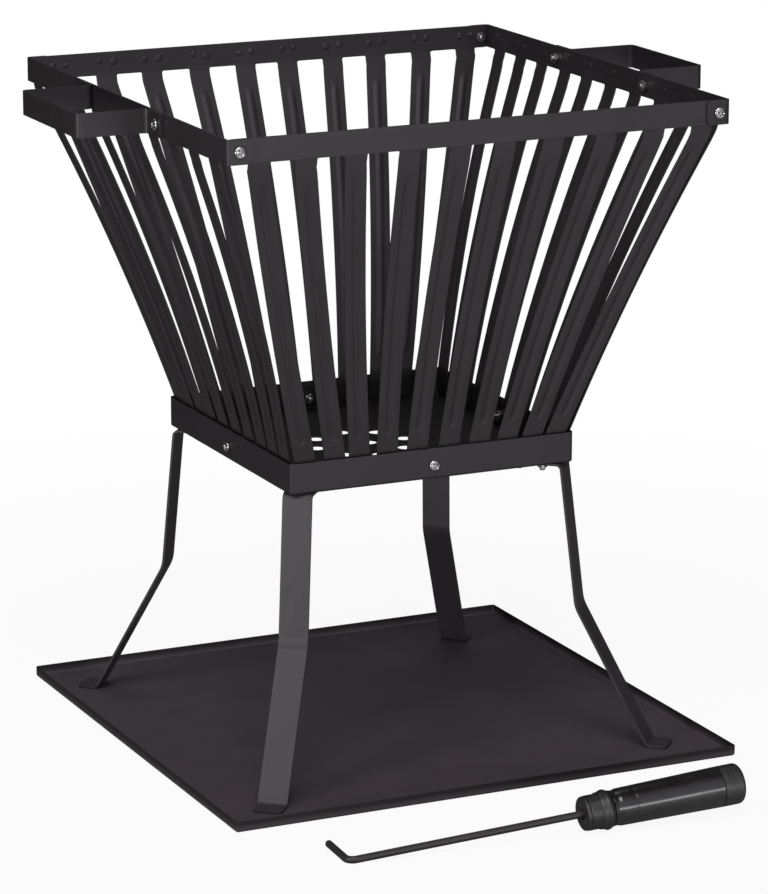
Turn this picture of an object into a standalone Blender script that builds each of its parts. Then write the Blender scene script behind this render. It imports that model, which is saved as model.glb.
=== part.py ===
"""Square fire basket on four strip legs, with its ash tray and poker.

Units are metres and +Z is up. The ash tray's underside is on z = 0 and its centre is the
origin. The front is towards -Y. Every separate piece is an object of its own. The basket's
pieces hang from one empty and the poker's from another, because both lift off the tray.
"""
import math

import bmesh
import bpy
from mathutils import Matrix, Vector

# Clearances
SEAT_GAP = 0.0003            # between faces that touch
WELD_SINK = 0.0001           # a welded strip is let this far into its neighbour
HOLE_CLEARANCE = 0.0003      # around a screw's shank
CUT_REACH = 0.002            # a cutter runs this far past the faces it cuts

# Ash tray
TRAY_HALF = 0.2270
TRAY_RIM_HEIGHT = 0.0092
TRAY_SHEET = 0.0010
TRAY_CORNER_RADIUS = 0.0025
TRAY_FOLD_RADIUS = 0.0022

# Where the basket stands, measured from the tray's centre
BASKET_SHIFT_X = -0.0055
BASKET_SHIFT_Y = 0.0027

# Legs: strip bent from a flange under the pan to a foot on the tray
LEG_WIDTH = 0.0250
LEG_THICKNESS = 0.0020
LEG_HEIGHT = 0.2400
LEG_TOP_RADIAL = 0.1735      # from the basket's axis to the flange's bend
LEG_FLANGE_LENGTH = 0.0520
LEG_KNEE_DROP = 0.1215       # from the flange down to the knee
LEG_FOOT_LENGTH = 0.0170
LEG_BEND_RADIUS = 0.0040
LEG_KNEE_RADIUS = 0.0300
LEG_END_RADIUS = 0.0040
LEG_SCREW_INSET = 0.0185     # from the flange's bend to the outer screw
LEG_SCREW_SPACING = 0.0200

# Base pan
PAN_HALF = 0.1290
PAN_WALL_HEIGHT = 0.0260
PAN_SHEET = 0.0012
PAN_CORNER_RADIUS = 0.0045
PAN_FOLD_RADIUS = 0.0018
PAN_SCREW_HEIGHT = 0.0112    # above the pan's underside
VENT_RADIUS = 0.0074
VENT_RING_RADIUS = 0.0405
VENT_RING_SHIFT = -0.0070    # the ring stands to the left of the middle vent
VENT_RING_COUNT = 8
VENT_STEPS = 16

# Basket panels: a rim band, ten slats and a foot strip, welded together
BASKET_HEIGHT = 0.2870       # from the pan's rim to the rim band's top edge
RIM_HALF = 0.2200
BAND_HEIGHT = 0.0200
BAND_THICKNESS = 0.0020
TAB_LENGTH = 0.0215
TAB_END_RADIUS = 0.0045
BAND_BEND_RADIUS = 0.0035
PLAIN_BAND_END_GAP = 0.0022  # from the end of a front or back band to the side band
CORNER_SCREW_INSET = 0.0105  # from the rim's corner
INNER_SLATS = 2              # in each half of a panel, between the handle screws
OUTER_SLATS = 3              # in each half, from the handle screw to the corner
SLAT_WIDTH = 0.0188
SLAT_THICKNESS = 0.0012
SLAT_LAP = 0.0130            # length of slat welded to the rim band
SLAT_DROP = 0.0070           # from the rim band down to the middle of the slat's bend
SLAT_BEND_LENGTH = 0.0090
SLAT_BOW = 0.0055            # how far a slat curves inwards at mid height
SLAT_CORNER_GAP = 0.0020     # between the outermost slat and the corner nut
SLAT_HANDLE_GAP = 0.0024     # between the handle nut and the slat inside it
SLAT_FEET = (0.0143, 0.0415, 0.0662, 0.0892, 0.1112)
BEAD_WIDTH = 0.0062
BEAD_DEPTH = 0.0013
BEAD_RUN_OUT = 0.0050
BEAD_FOOT_MARGIN = 0.0170    # from the pan's rim up to the bead's end
FOOT_STRIP_HEIGHT = 0.0180
FOOT_STRIP_THICKNESS = 0.0015
FOOT_STRIP_DROP = 0.0035     # from the pan's rim down to the foot strip

# Hand-welded slats stray from an even spacing, at the rim and then at the pan, from left to
# right as each panel is seen from outside
FRONT_STRAY = (
    (0.0023, -0.0012, -0.0019, 0.0012, 0.0018, -0.0024, -0.0030, 0.0011, 0.0011, 0.0014),
    (-0.0024, 0.0018, 0.0005, 0.0004, 0.0, 0.0, 0.0002, 0.0009, 0.0008, 0.0005),
)
RIGHT_STRAY = (
    (0.0005, 0.0003, 0.0029, 0.0030, 0.0038, 0.0040, 0.0009, 0.0018, -0.0009, -0.0030),
    (-0.0035, -0.0005, 0.0023, 0.0011, 0.0, 0.0, 0.0009, 0.0010, 0.0040, 0.0036),
)
BACK_STRAY = (
    (-0.0014, -0.0006, 0.0009, -0.0006, -0.0003, -0.0035, -0.0031, -0.0018, -0.0029, -0.0031),
    (-0.0013, -0.0018, -0.0029, 0.0029, 0.0, 0.0018, -0.0014, -0.0013, 0.0021, 0.0008),
)
LEFT_STRAY = (
    (-0.0018, 0.0005, 0.0069, 0.0042, -0.0010, -0.0015, -0.0002, -0.0030, -0.0021, -0.0050),
    (0.0003, 0.0, 0.0043, 0.0008, 0.0, 0.0, -0.0006, 0.0009, 0.0005, 0.0),
)

# Handles: strip bent to a U with a flange at each end
HANDLE_WIDTH = 0.1250
HANDLE_REACH = 0.0625
HANDLE_THICKNESS = 0.0020
HANDLE_STRIP_HEIGHT = 0.0198
HANDLE_FLANGE_LENGTH = 0.0270
HANDLE_SCREW_OUTSET = 0.0180  # from the outside of an arm to the screw in its flange
HANDLE_BEND_RADIUS = 0.0042
HANDLE_END_RADIUS = 0.0035

# Screws and nuts, M5
SCREW_RADIUS = 0.0025
SCREW_LENGTH = 0.0105
SCREW_TIP_CHAMFER = 0.0005
HEAD_RADIUS = 0.0048
HEAD_HEIGHT = 0.0028
HEAD_SIDE_HEIGHT = 0.0010
RECESS_SPAN = 0.0050
RECESS_SLOT = 0.0011
RECESS_DEPTH = 0.0015
NUT_ACROSS_FLATS = 0.0080
NUT_HEIGHT = 0.0040
SCREW_STEPS = 12

# Poker, along its own axis from the bend at its tip
POKER_BEND_X = -0.1762
POKER_BEND_Y = -0.3295
POKER_YAW = math.radians(-3.1)
ROD_RADIUS = 0.0030
ROD_BEND_RADIUS = 0.0070
ROD_SEATED = 0.0900          # length of rod inside the handle
HOOK_LENGTH = 0.0440
HOOK_ANGLE = math.radians(90.0)
COLLAR_START = 0.1990        # from the bend to the handle's nose
COLLAR_LENGTH = 0.0132
COLLAR_RADIUS = 0.0141
COLLAR_RIB_DEPTH = 0.0006
COLLAR_RIB_COUNT = 4
COLLAR_NOSE_CHAMFER = 0.0020
RING_LENGTH = 0.0103
RING_RADIUS = 0.0163
RING_EDGE = 0.0026
SPIGOT_LENGTH = 0.0120       # part of the collar that seats inside the grip
SPIGOT_RADIUS = 0.0095
GRIP_LENGTH = 0.0957
GRIP_NOSE_RADIUS = 0.0150
GRIP_TAIL_RADIUS = 0.0165
GRIP_WALL = 0.0030
CAP_LENGTH = 0.0184
CAP_EDGE_RADIUS = 0.0045
CAP_SPIGOT_LENGTH = 0.0100
CAP_BORE_RADIUS = 0.0060
TURNED_STEPS = 28

# Heights that follow from the sizes above
FOOT_Z = TRAY_SHEET + SEAT_GAP
PAN_BOTTOM_Z = FOOT_Z + LEG_HEIGHT + SEAT_GAP
PAN_TOP_Z = PAN_BOTTOM_Z + PAN_WALL_HEIGHT
BAND_TOP_Z = PAN_TOP_Z + BASKET_HEIGHT
BAND_BOTTOM_Z = BAND_TOP_Z - BAND_HEIGHT
BAND_MID_Z = BAND_TOP_Z - BAND_HEIGHT / 2

# Distances from the basket's axis that follow from the sizes above
PLAIN_BAND_HALF = RIM_HALF - BAND_THICKNESS - SEAT_GAP
FOOT_STRIP_HALF = PAN_HALF - PAN_SHEET - SEAT_GAP
FOOT_STRIP_INNER = FOOT_STRIP_HALF - FOOT_STRIP_THICKNESS
CORNER_SCREW_X = RIM_HALF - CORNER_SCREW_INSET
HANDLE_SCREW_X = HANDLE_WIDTH / 2 + HANDLE_SCREW_OUTSET

# Colours, in linear RGB
BLACK_PAINT = (0.022, 0.019, 0.021)
TRAY_PAINT = (0.030, 0.024, 0.027)
LEG_PAINT = (0.050, 0.047, 0.050)
ZINC = (0.62, 0.61, 0.60)
BLACK_PLASTIC = (0.012, 0.011, 0.011)

SIDES = (
    ("front", 0.0, FRONT_STRAY),
    ("right", math.pi / 2, RIGHT_STRAY),
    ("back", math.pi, BACK_STRAY),
    ("left", -math.pi / 2, LEFT_STRAY),
)

# Each leg with its bearing from the basket's axis, its turn on its two screws, and how far
# out its knee and its foot are bent
LEGS = (
    ("front_left", 225.0, 5.5, 0.1880, 0.2530),
    ("front_right", 315.0, 3.0, 0.1880, 0.2510),
    ("back_right", 45.0, 0.0, 0.1760, 0.2260),
    ("back_left", 135.0, 3.0, 0.1850, 0.2490),
)


def clear_scene():
    for item in list(bpy.data.objects):
        bpy.data.objects.remove(item, do_unlink=True)


def new_collection(name):
    collection = bpy.data.collections.new(name)
    bpy.context.scene.collection.children.link(collection)
    return collection


clear_scene()
PARTS = new_collection("fire_basket")
CUTTERS = new_collection("fire_basket_cutters")


def make_material(name, colour, roughness, metallic):
    material = bpy.data.materials.new(name)
    material.use_nodes = True
    shader = material.node_tree.nodes["Principled BSDF"]
    shader.inputs["Base Color"].default_value = (*colour, 1.0)
    shader.inputs["Roughness"].default_value = roughness
    shader.inputs["Metallic"].default_value = metallic
    material.diffuse_color = (*colour, 1.0)
    return material


def add_object(name, mesh, parent, collection=None):
    item = bpy.data.objects.new(name, mesh)
    (collection or PARTS).objects.link(item)
    item.parent = parent
    return item


def add_empty(name, location, rotation=(0.0, 0.0, 0.0)):
    item = bpy.data.objects.new(name, None)
    PARTS.objects.link(item)
    item.location = location
    item.rotation_euler = rotation
    return item


def mark_as_cutter(item):
    item.hide_render = True
    item.display_type = "WIRE"
    return item


def add_boolean(item, other, operation):
    modifier = item.modifiers.new(operation.lower(), "BOOLEAN")
    modifier.operation = operation
    modifier.solver = "EXACT"
    modifier.object = other


def add_solidify(item, thickness, offset):
    modifier = item.modifiers.new("thickness", "SOLIDIFY")
    modifier.thickness = thickness
    modifier.offset = offset
    modifier.use_even_offset = True
    return modifier


def mesh_from(bm, name):
    bmesh.ops.recalc_face_normals(bm, faces=bm.faces)
    mesh = bpy.data.meshes.new(name)
    bm.to_mesh(mesh)
    bm.free()
    return mesh


def smooth(mesh, angle=35.0):
    mesh.shade_smooth()
    mesh.set_sharp_from_angle(angle=math.radians(angle))


def rounded_path(points, radius, segments=4):
    """The points of a path in a plane, with each inner corner turned into an arc."""
    corners = [Vector(point) for point in points]
    path = [corners[0]]
    for before, corner, after in zip(corners, corners[1:], corners[2:]):
        back = (before - corner).normalized()
        ahead = (after - corner).normalized()
        half_angle = back.angle(ahead) / 2
        centre = corner + (back + ahead).normalized() * (radius / math.sin(half_angle))
        start = corner + back * (radius / math.tan(half_angle)) - centre
        sweep = start.angle_signed(corner + ahead * (radius / math.tan(half_angle)) - centre)
        for step in range(segments + 1):
            turn = Matrix.Rotation(-sweep * step / segments, 2)
            path.append(centre + turn @ start)
    path.append(corners[-1])
    return path


def bent_strip(name, path, width, thickness, end_radius, parent, collection=None):
    """A flat strip that follows a path in local XY, with its width along local Z."""
    bm = bmesh.new()
    lower = [bm.verts.new((point.x, point.y, -width / 2)) for point in path]
    edges = [bm.edges.new(pair) for pair in zip(lower, lower[1:])]
    raised = bmesh.ops.extrude_edge_only(bm, edges=edges)["geom"]
    upper = [part for part in raised if isinstance(part, bmesh.types.BMVert)]
    bmesh.ops.translate(bm, verts=upper, vec=(0.0, 0.0, width))
    if end_radius:
        corners = [vert for vert in bm.verts if len(vert.link_edges) == 2]
        bmesh.ops.bevel(bm, geom=corners, offset=end_radius, segments=3, profile=0.5, affect="VERTICES")
    strip = add_object(name, mesh_from(bm, name), parent, collection)
    smooth(strip.data)
    add_solidify(strip, thickness, 0.0)
    return strip


def box(name, size, centre, parent, collection=None):
    bm = bmesh.new()
    bmesh.ops.create_cube(bm, size=1.0, matrix=Matrix.Diagonal((*size, 1.0)))
    item = add_object(name, mesh_from(bm, name), parent, collection)
    item.location = centre
    return item


def open_box(name, half, height, corner_radius, fold_radius, parent):
    """A square sheet with its edges folded up: the outer skin of a tray or pan."""
    bm = bmesh.new()
    bmesh.ops.create_cube(bm, size=1.0, matrix=Matrix.Diagonal((2 * half, 2 * half, height, 1.0)))
    lid = [face for face in bm.faces if face.normal.z > 0.5]
    bmesh.ops.delete(bm, geom=lid, context="FACES_ONLY")
    upright = [edge for edge in bm.edges if abs((edge.verts[0].co - edge.verts[1].co).z) > height / 2]
    bmesh.ops.bevel(bm, geom=upright, offset=corner_radius, segments=4, profile=0.5, affect="EDGES")
    floor = min(bm.faces, key=lambda face: face.calc_center_median().z)
    bmesh.ops.bevel(bm, geom=list(floor.edges), offset=fold_radius, segments=2, profile=0.5, affect="EDGES")
    bmesh.ops.translate(bm, verts=bm.verts, vec=(0.0, 0.0, height / 2))
    item = add_object(name, mesh_from(bm, name), parent)
    smooth(item.data)
    return item


def turned(name, profile, steps, parent, collection=None):
    """A solid of revolution about local Z. The profile runs down its outer side."""
    bm = bmesh.new()
    verts = [bm.verts.new((radius, 0.0, height)) for radius, height in profile]
    for pair in zip(verts, verts[1:]):
        bm.edges.new(pair)
    mesh = bpy.data.meshes.new(name)
    bm.to_mesh(mesh)
    bm.free()
    item = add_object(name, mesh, parent, collection)
    modifier = item.modifiers.new("turn", "SCREW")
    modifier.axis = "Z"
    modifier.steps = steps
    modifier.render_steps = steps
    modifier.use_merge_vertices = True
    modifier.merge_threshold = 0.00005
    modifier.use_smooth_shade = True
    return item


def baked_mesh(item, name):
    """The mesh that an object's modifiers make, for several objects to share."""
    depsgraph = bpy.context.evaluated_depsgraph_get()
    mesh = bpy.data.meshes.new_from_object(item.evaluated_get(depsgraph))
    mesh.name = name
    bpy.data.objects.remove(item, do_unlink=True)
    return mesh


class FastenerSite:
    """One screw with its nut: where its head seats, which way it goes and what it clamps."""

    def __init__(self, name, seat, axis, grip):
        self.name = name
        self.seat = Vector(seat)
        self.axis = Vector(axis).normalized()
        self.grip = grip

    def turn(self):
        return self.axis.to_track_quat("-Z", "Y").to_matrix().to_4x4()

    def screw_matrix(self):
        return Matrix.Translation(self.seat) @ self.turn()

    def nut_matrix(self):
        return Matrix.Translation(self.seat + self.axis * (self.grip + SEAT_GAP)) @ self.turn()


def side_turn(angle):
    return Matrix.Rotation(angle, 3, "Z")


def corner_sites():
    """Through each tab of the side bands and the front or back band behind it."""
    sites = []
    for side_name, angle in (("front", 0.0), ("back", math.pi)):
        for end_name, sign in (("left", -1.0), ("right", 1.0)):
            across = sign if side_name == "front" else -sign
            seat = side_turn(angle) @ Vector((across * CORNER_SCREW_X, -RIM_HALF, BAND_MID_Z))
            axis = side_turn(angle) @ Vector((0.0, 1.0, 0.0))
            grip = 2 * BAND_THICKNESS + SEAT_GAP
            sites.append(FastenerSite("corner_%s_%s" % (side_name, end_name), seat, axis, grip))
    return sites


def handle_sites():
    """Through each flange of the handles and the side band behind it."""
    sites = []
    for side_name, angle in (("left", -math.pi / 2), ("right", math.pi / 2)):
        for end_name, world_y in (("front", -1.0), ("back", 1.0)):
            along = world_y if side_name == "right" else -world_y
            face = RIM_HALF + SEAT_GAP + HANDLE_THICKNESS
            seat = Vector((along * HANDLE_SCREW_X, -face, BAND_MID_Z))
            axis = side_turn(angle) @ Vector((0.0, 1.0, 0.0))
            grip = HANDLE_THICKNESS + SEAT_GAP + BAND_THICKNESS
            name = "handle_%s_%s" % (side_name, end_name)
            sites.append(FastenerSite(name, side_turn(angle) @ seat, axis, grip))
    return sites


def pan_sites():
    """Through the middle of each pan wall and the foot strip behind it."""
    sites = []
    for side_name, angle, _ in SIDES:
        seat = side_turn(angle) @ Vector((0.0, -PAN_HALF, PAN_BOTTOM_Z + PAN_SCREW_HEIGHT))
        axis = side_turn(angle) @ Vector((0.0, 1.0, 0.0))
        grip = PAN_SHEET + SEAT_GAP + FOOT_STRIP_THICKNESS
        sites.append(FastenerSite("pan_%s" % side_name, seat, axis, grip))
    return sites


def leg_sites():
    """Down through the pan's floor and each leg's flange."""
    sites = []
    for corner_name, bearing, _, _, _ in LEGS:
        for place_name, inset in (("outer", 0.0), ("inner", LEG_SCREW_SPACING)):
            radial = LEG_TOP_RADIAL - LEG_SCREW_INSET - inset
            seat = side_turn(math.radians(bearing)) @ Vector((radial, 0.0, PAN_BOTTOM_Z + PAN_SHEET))
            grip = PAN_SHEET + SEAT_GAP + LEG_THICKNESS
            name = "leg_%s_%s" % (corner_name, place_name)
            sites.append(FastenerSite(name, seat, (0.0, 0.0, -1.0), grip))
    return sites


def hole_cutter(name, sites, parent):
    """One cutter that holds a rod along each of the given fastener sites."""
    bm = bmesh.new()
    for site in sites:
        length = site.grip + 2 * CUT_REACH
        middle = Matrix.Translation(site.seat + site.axis * (site.grip / 2))
        bmesh.ops.create_cone(
            bm, cap_ends=True, segments=SCREW_STEPS, depth=length,
            radius1=SCREW_RADIUS + HOLE_CLEARANCE, radius2=SCREW_RADIUS + HOLE_CLEARANCE,
            matrix=middle @ site.turn(),
        )
    return mark_as_cutter(add_object(name, mesh_from(bm, name), parent, CUTTERS))


def vent_cutter(parent):
    """A vent in the middle of the pan's floor and a ring of vents round it."""
    bm = bmesh.new()
    centres = [(0.0, 0.0)]
    for step in range(VENT_RING_COUNT):
        angle = 2 * math.pi * step / VENT_RING_COUNT
        across = VENT_RING_SHIFT + VENT_RING_RADIUS * math.cos(angle)
        centres.append((across, VENT_RING_RADIUS * math.sin(angle)))
    for x, y in centres:
        bmesh.ops.create_cone(
            bm, cap_ends=True, segments=VENT_STEPS, depth=PAN_SHEET + 2 * CUT_REACH,
            radius1=VENT_RADIUS, radius2=VENT_RADIUS,
            matrix=Matrix.Translation((x, y, PAN_BOTTOM_Z + PAN_SHEET / 2)),
        )
    return mark_as_cutter(add_object("vent_cutter", mesh_from(bm, "vent_cutter"), parent, CUTTERS))


def slat_stations(band_inner):
    """Along a slat from its top end: height, distance from the axis, share of the fan, bead depth."""
    top = band_inner + WELD_SINK - SLAT_THICKNESS / 2
    foot = FOOT_STRIP_INNER + WELD_SINK - SLAT_THICKNESS / 2
    bend_z = BAND_BOTTOM_Z - SLAT_DROP
    slope_top = bend_z - SLAT_BEND_LENGTH / 2
    bead_top = slope_top - BEAD_RUN_OUT
    bead_low = PAN_TOP_Z + BEAD_FOOT_MARGIN
    slope_foot = PAN_TOP_Z - FOOT_STRIP_DROP
    foot_end = slope_foot - FOOT_STRIP_HEIGHT
    span = bend_z - slope_foot

    def sloping(height, depth):
        share = (bend_z - height) / span
        bow = SLAT_BOW * 4 * share * (1 - share)
        return (height, top + (foot - top) * share - bow, share, depth)

    middle = (bead_top + bead_low) / 2
    return [
        (BAND_BOTTOM_Z + SLAT_LAP, top, 0.0, 0.0),
        (bend_z + SLAT_BEND_LENGTH / 2, top, 0.0, 0.0),
        sloping(slope_top, 0.0),
        sloping(bead_top, BEAD_DEPTH),
        sloping((bead_top + middle) / 2, BEAD_DEPTH),
        sloping(middle, BEAD_DEPTH),
        sloping(bead_low + BEAD_RUN_OUT, BEAD_DEPTH),
        sloping(bead_low, 0.0),
        (slope_foot, foot, 1.0, 0.0),
        (foot_end, foot, 1.0, 0.0),
    ]


def slat_positions(stray):
    """The middle of each slat along its panel, at the rim and at the pan."""
    slat_and_nut = SLAT_WIDTH / 2 + NUT_ACROSS_FLATS / 2
    inner_reach = HANDLE_SCREW_X - slat_and_nut - SLAT_HANDLE_GAP
    outer_reach = CORNER_SCREW_X - slat_and_nut - SLAT_CORNER_GAP
    tops = [inner_reach * (2 * number + 1) / (2 * INNER_SLATS - 1) for number in range(INNER_SLATS)]
    for number in range(OUTER_SLATS):
        tops.append(inner_reach + (outer_reach - inner_reach) * (number + 1) / OUTER_SLATS)
    half = list(zip(tops, SLAT_FEET))
    even = [(-top, -foot) for top, foot in reversed(half)] + half
    return [(top + top_shift, foot + foot_shift)
            for (top, foot), top_shift, foot_shift in zip(even, *stray)]


def build_slats(name, band_inner, stray, parent):
    """The ten slats of a panel, each a grid laid along its stations and thickened."""
    stations = slat_stations(band_inner)
    rows = len(stations)
    edges = (-SLAT_WIDTH / 2, -BEAD_WIDTH / 2, 0.0, BEAD_WIDTH / 2, SLAT_WIDTH / 2)
    columns = len(edges)
    bm = bmesh.new()
    for top_x, foot_x in slat_positions(stray):
        made = bmesh.ops.create_grid(bm, x_segments=columns - 1, y_segments=rows - 1, size=1.0)
        for vert in made["verts"]:
            column = round((vert.co.x + 1.0) / 2 * (columns - 1))
            row = round((1.0 - vert.co.y) / 2 * (rows - 1))
            height, radial, share, bead = stations[row]
            across = edges[column]
            inwards = bead if column == 2 else 0.0
            middle = top_x + (foot_x - top_x) * share
            vert.co = Vector((middle + across, -(radial - inwards), height))
    slats = add_object(name, mesh_from(bm, name), parent, CUTTERS)
    add_solidify(slats, SLAT_THICKNESS, 0.0)
    flat = slats.modifiers.new("flat faces", "DECIMATE")
    flat.decimate_type = "DISSOLVE"
    flat.angle_limit = math.radians(0.3)
    return mark_as_cutter(slats)


def build_panel(side_name, angle, stray, parent, material, holes):
    """One side of the basket. The left and right bands turn round the corners as tabs."""
    with_tabs = side_name in ("left", "right")
    half = RIM_HALF if with_tabs else PLAIN_BAND_HALF
    line = half - BAND_THICKNESS / 2
    if with_tabs:
        tab_end = -(RIM_HALF - TAB_LENGTH)
        corners = [(-line, tab_end), (-line, -line), (line, -line), (line, tab_end)]
        path = rounded_path(corners, BAND_BEND_RADIUS)
    else:
        end = RIM_HALF - BAND_THICKNESS - PLAIN_BAND_END_GAP
        path = [Vector((-end, -line)), Vector((end, -line))]
    name = "panel_%s" % side_name
    turn = (0.0, 0.0, angle)

    guide = add_object("%s_frame" % name, None, parent, CUTTERS)
    guide.rotation_euler = turn
    end_radius = TAB_END_RADIUS if with_tabs else 0.0
    panel = bent_strip(name, path, BAND_HEIGHT, BAND_THICKNESS, end_radius, parent)
    panel.location = (0.0, 0.0, BAND_MID_Z)
    panel.rotation_euler = turn
    panel.data.materials.append(material)

    slats = build_slats("%s_slats" % name, half - BAND_THICKNESS, stray, guide)
    add_boolean(panel, slats, "UNION")
    strip_size = (2 * SLAT_FEET[-1] + SLAT_WIDTH, FOOT_STRIP_THICKNESS, FOOT_STRIP_HEIGHT)
    strip_y = -(FOOT_STRIP_HALF - FOOT_STRIP_THICKNESS / 2)
    strip_z = PAN_TOP_Z - FOOT_STRIP_DROP - FOOT_STRIP_HEIGHT / 2
    strip = box("%s_foot_strip" % name, strip_size, (0.0, strip_y, strip_z), guide, CUTTERS)
    add_boolean(panel, mark_as_cutter(strip), "UNION")
    for cutter in holes:
        add_boolean(panel, cutter, "DIFFERENCE")
    return panel


def build_pan(parent, material, holes):
    pan = open_box("base_pan", PAN_HALF, PAN_WALL_HEIGHT, PAN_CORNER_RADIUS, PAN_FOLD_RADIUS, parent)
    pan.location = (0.0, 0.0, PAN_BOTTOM_Z)
    pan.data.materials.append(material)
    add_solidify(pan, PAN_SHEET, -1.0)
    for cutter in holes:
        add_boolean(pan, cutter, "DIFFERENCE")
    return pan


def build_leg(corner_name, bearing, turn, knee_radial, foot_radial, parent, material, holes):
    """A leg in its own plane: local X runs out from its two screws and local Y runs up."""
    pivot = LEG_TOP_RADIAL - LEG_SCREW_INSET - LEG_SCREW_SPACING / 2
    flange = LEG_HEIGHT - LEG_THICKNESS / 2
    foot = LEG_THICKNESS / 2
    corners = [
        (LEG_TOP_RADIAL - LEG_FLANGE_LENGTH - pivot, flange),
        (LEG_TOP_RADIAL - pivot, flange),
        (knee_radial - pivot, flange - LEG_KNEE_DROP),
        (foot_radial - pivot, foot),
        (foot_radial + LEG_FOOT_LENGTH - pivot, foot),
    ]
    top_bend = rounded_path(corners[:3], LEG_BEND_RADIUS)[:-1]
    knee = rounded_path(corners[1:4], LEG_KNEE_RADIUS)[1:-1]
    foot_bend = rounded_path(corners[2:], LEG_BEND_RADIUS)[1:]
    name = "leg_%s" % corner_name
    leg = bent_strip(name, top_bend + knee + foot_bend, LEG_WIDTH, LEG_THICKNESS, LEG_END_RADIUS, parent)
    leg.location = side_turn(math.radians(bearing)) @ Vector((pivot, 0.0, FOOT_Z))
    leg.rotation_euler = (math.pi / 2, 0.0, math.radians(bearing + turn))
    leg.data.materials.append(material)
    for cutter in holes:
        add_boolean(leg, cutter, "DIFFERENCE")
    return leg


def build_handle(side_name, angle, parent, material, holes):
    """A handle seen from above: two flanges on the band, two arms and the grip bar."""
    flange_y = -(RIM_HALF + SEAT_GAP + HANDLE_THICKNESS / 2)
    bar_y = -(RIM_HALF + HANDLE_REACH - HANDLE_THICKNESS / 2)
    arm_x = (HANDLE_WIDTH - HANDLE_THICKNESS) / 2
    end_x = HANDLE_WIDTH / 2 + HANDLE_FLANGE_LENGTH
    corners = [
        (-end_x, flange_y), (-arm_x, flange_y), (-arm_x, bar_y),
        (arm_x, bar_y), (arm_x, flange_y), (end_x, flange_y),
    ]
    path = rounded_path(corners, HANDLE_BEND_RADIUS)
    handle = bent_strip(
        "handle_%s" % side_name, path, HANDLE_STRIP_HEIGHT, HANDLE_THICKNESS, HANDLE_END_RADIUS, parent)
    handle.location = (0.0, 0.0, BAND_TOP_Z - HANDLE_STRIP_HEIGHT / 2)
    handle.rotation_euler = (0.0, 0.0, angle)
    handle.data.materials.append(material)
    for cutter in holes:
        add_boolean(handle, cutter, "DIFFERENCE")
    return handle


def screw_mesh(material):
    """A domed screw with a cross recess. Its head seats just above local z = 0."""
    underside = SEAT_GAP
    side_top = underside + HEAD_SIDE_HEIGHT
    top = underside + HEAD_HEIGHT
    tip = -SCREW_LENGTH
    profile = [
        (0.0, top),
        (HEAD_RADIUS * 0.7, top - (top - side_top) * 0.3),
        (HEAD_RADIUS, side_top),
        (HEAD_RADIUS, underside),
        (SCREW_RADIUS, underside),
        (SCREW_RADIUS, tip + SCREW_TIP_CHAMFER),
        (SCREW_RADIUS - SCREW_TIP_CHAMFER, tip),
        (0.0, tip),
    ]
    blank = turned("screw_blank", profile, SCREW_STEPS, None, CUTTERS)
    depth = 2 * RECESS_DEPTH
    for number, size in enumerate(((RECESS_SPAN, RECESS_SLOT, depth), (RECESS_SLOT, RECESS_SPAN, depth))):
        arm = box("recess_arm_%d" % number, size, (0.0, 0.0, top), None, CUTTERS)
        add_boolean(blank, mark_as_cutter(arm), "DIFFERENCE")
    bpy.context.view_layer.update()
    mesh = baked_mesh(blank, "screw")
    mesh.materials.clear()
    mesh.materials.append(material)
    return mesh


def nut_mesh(material):
    """A hexagon nut with its first face at local z = 0 and two flats across local X."""
    bm = bmesh.new()
    corner_radius = NUT_ACROSS_FLATS / 2 / math.cos(math.pi / 6)
    bmesh.ops.create_cone(
        bm, cap_ends=True, segments=6, depth=NUT_HEIGHT,
        radius1=corner_radius, radius2=corner_radius,
        matrix=Matrix.Translation((0.0, 0.0, -NUT_HEIGHT / 2)),
    )
    blank = add_object("nut_blank", mesh_from(bm, "nut_blank"), None, CUTTERS)
    bm = bmesh.new()
    bmesh.ops.create_cone(
        bm, cap_ends=True, segments=SCREW_STEPS, depth=NUT_HEIGHT + 2 * CUT_REACH,
        radius1=SCREW_RADIUS + HOLE_CLEARANCE, radius2=SCREW_RADIUS + HOLE_CLEARANCE,
        matrix=Matrix.Translation((0.0, 0.0, -NUT_HEIGHT / 2)),
    )
    bore = add_object("nut_bore", mesh_from(bm, "nut_bore"), None, CUTTERS)
    add_boolean(blank, mark_as_cutter(bore), "DIFFERENCE")
    bpy.context.view_layer.update()
    mesh = baked_mesh(blank, "nut")
    mesh.materials.clear()
    mesh.materials.append(material)
    return mesh


def build_fasteners(sites, parent, material):
    """A screw and a nut at every site. All screws share one mesh, and so do all nuts."""
    screw = screw_mesh(material)
    nut = nut_mesh(material)
    for site in sites:
        add_object("%s_screw" % site.name, screw, parent).matrix_local = site.screw_matrix()
        add_object("%s_nut" % site.name, nut, parent).matrix_local = site.nut_matrix()


def build_tray(material):
    tray = open_box("ash_tray", TRAY_HALF, TRAY_RIM_HEIGHT, TRAY_CORNER_RADIUS, TRAY_FOLD_RADIUS, None)
    tray.data.materials.append(material)
    add_solidify(tray, TRAY_SHEET, -1.0)
    return tray


def poker_pitch():
    """How far the poker tips, resting on its bend and on the ring of its collar."""
    ring_middle = COLLAR_START + COLLAR_LENGTH + RING_LENGTH / 2
    return math.asin((RING_RADIUS - ROD_RADIUS) / ring_middle)


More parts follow.
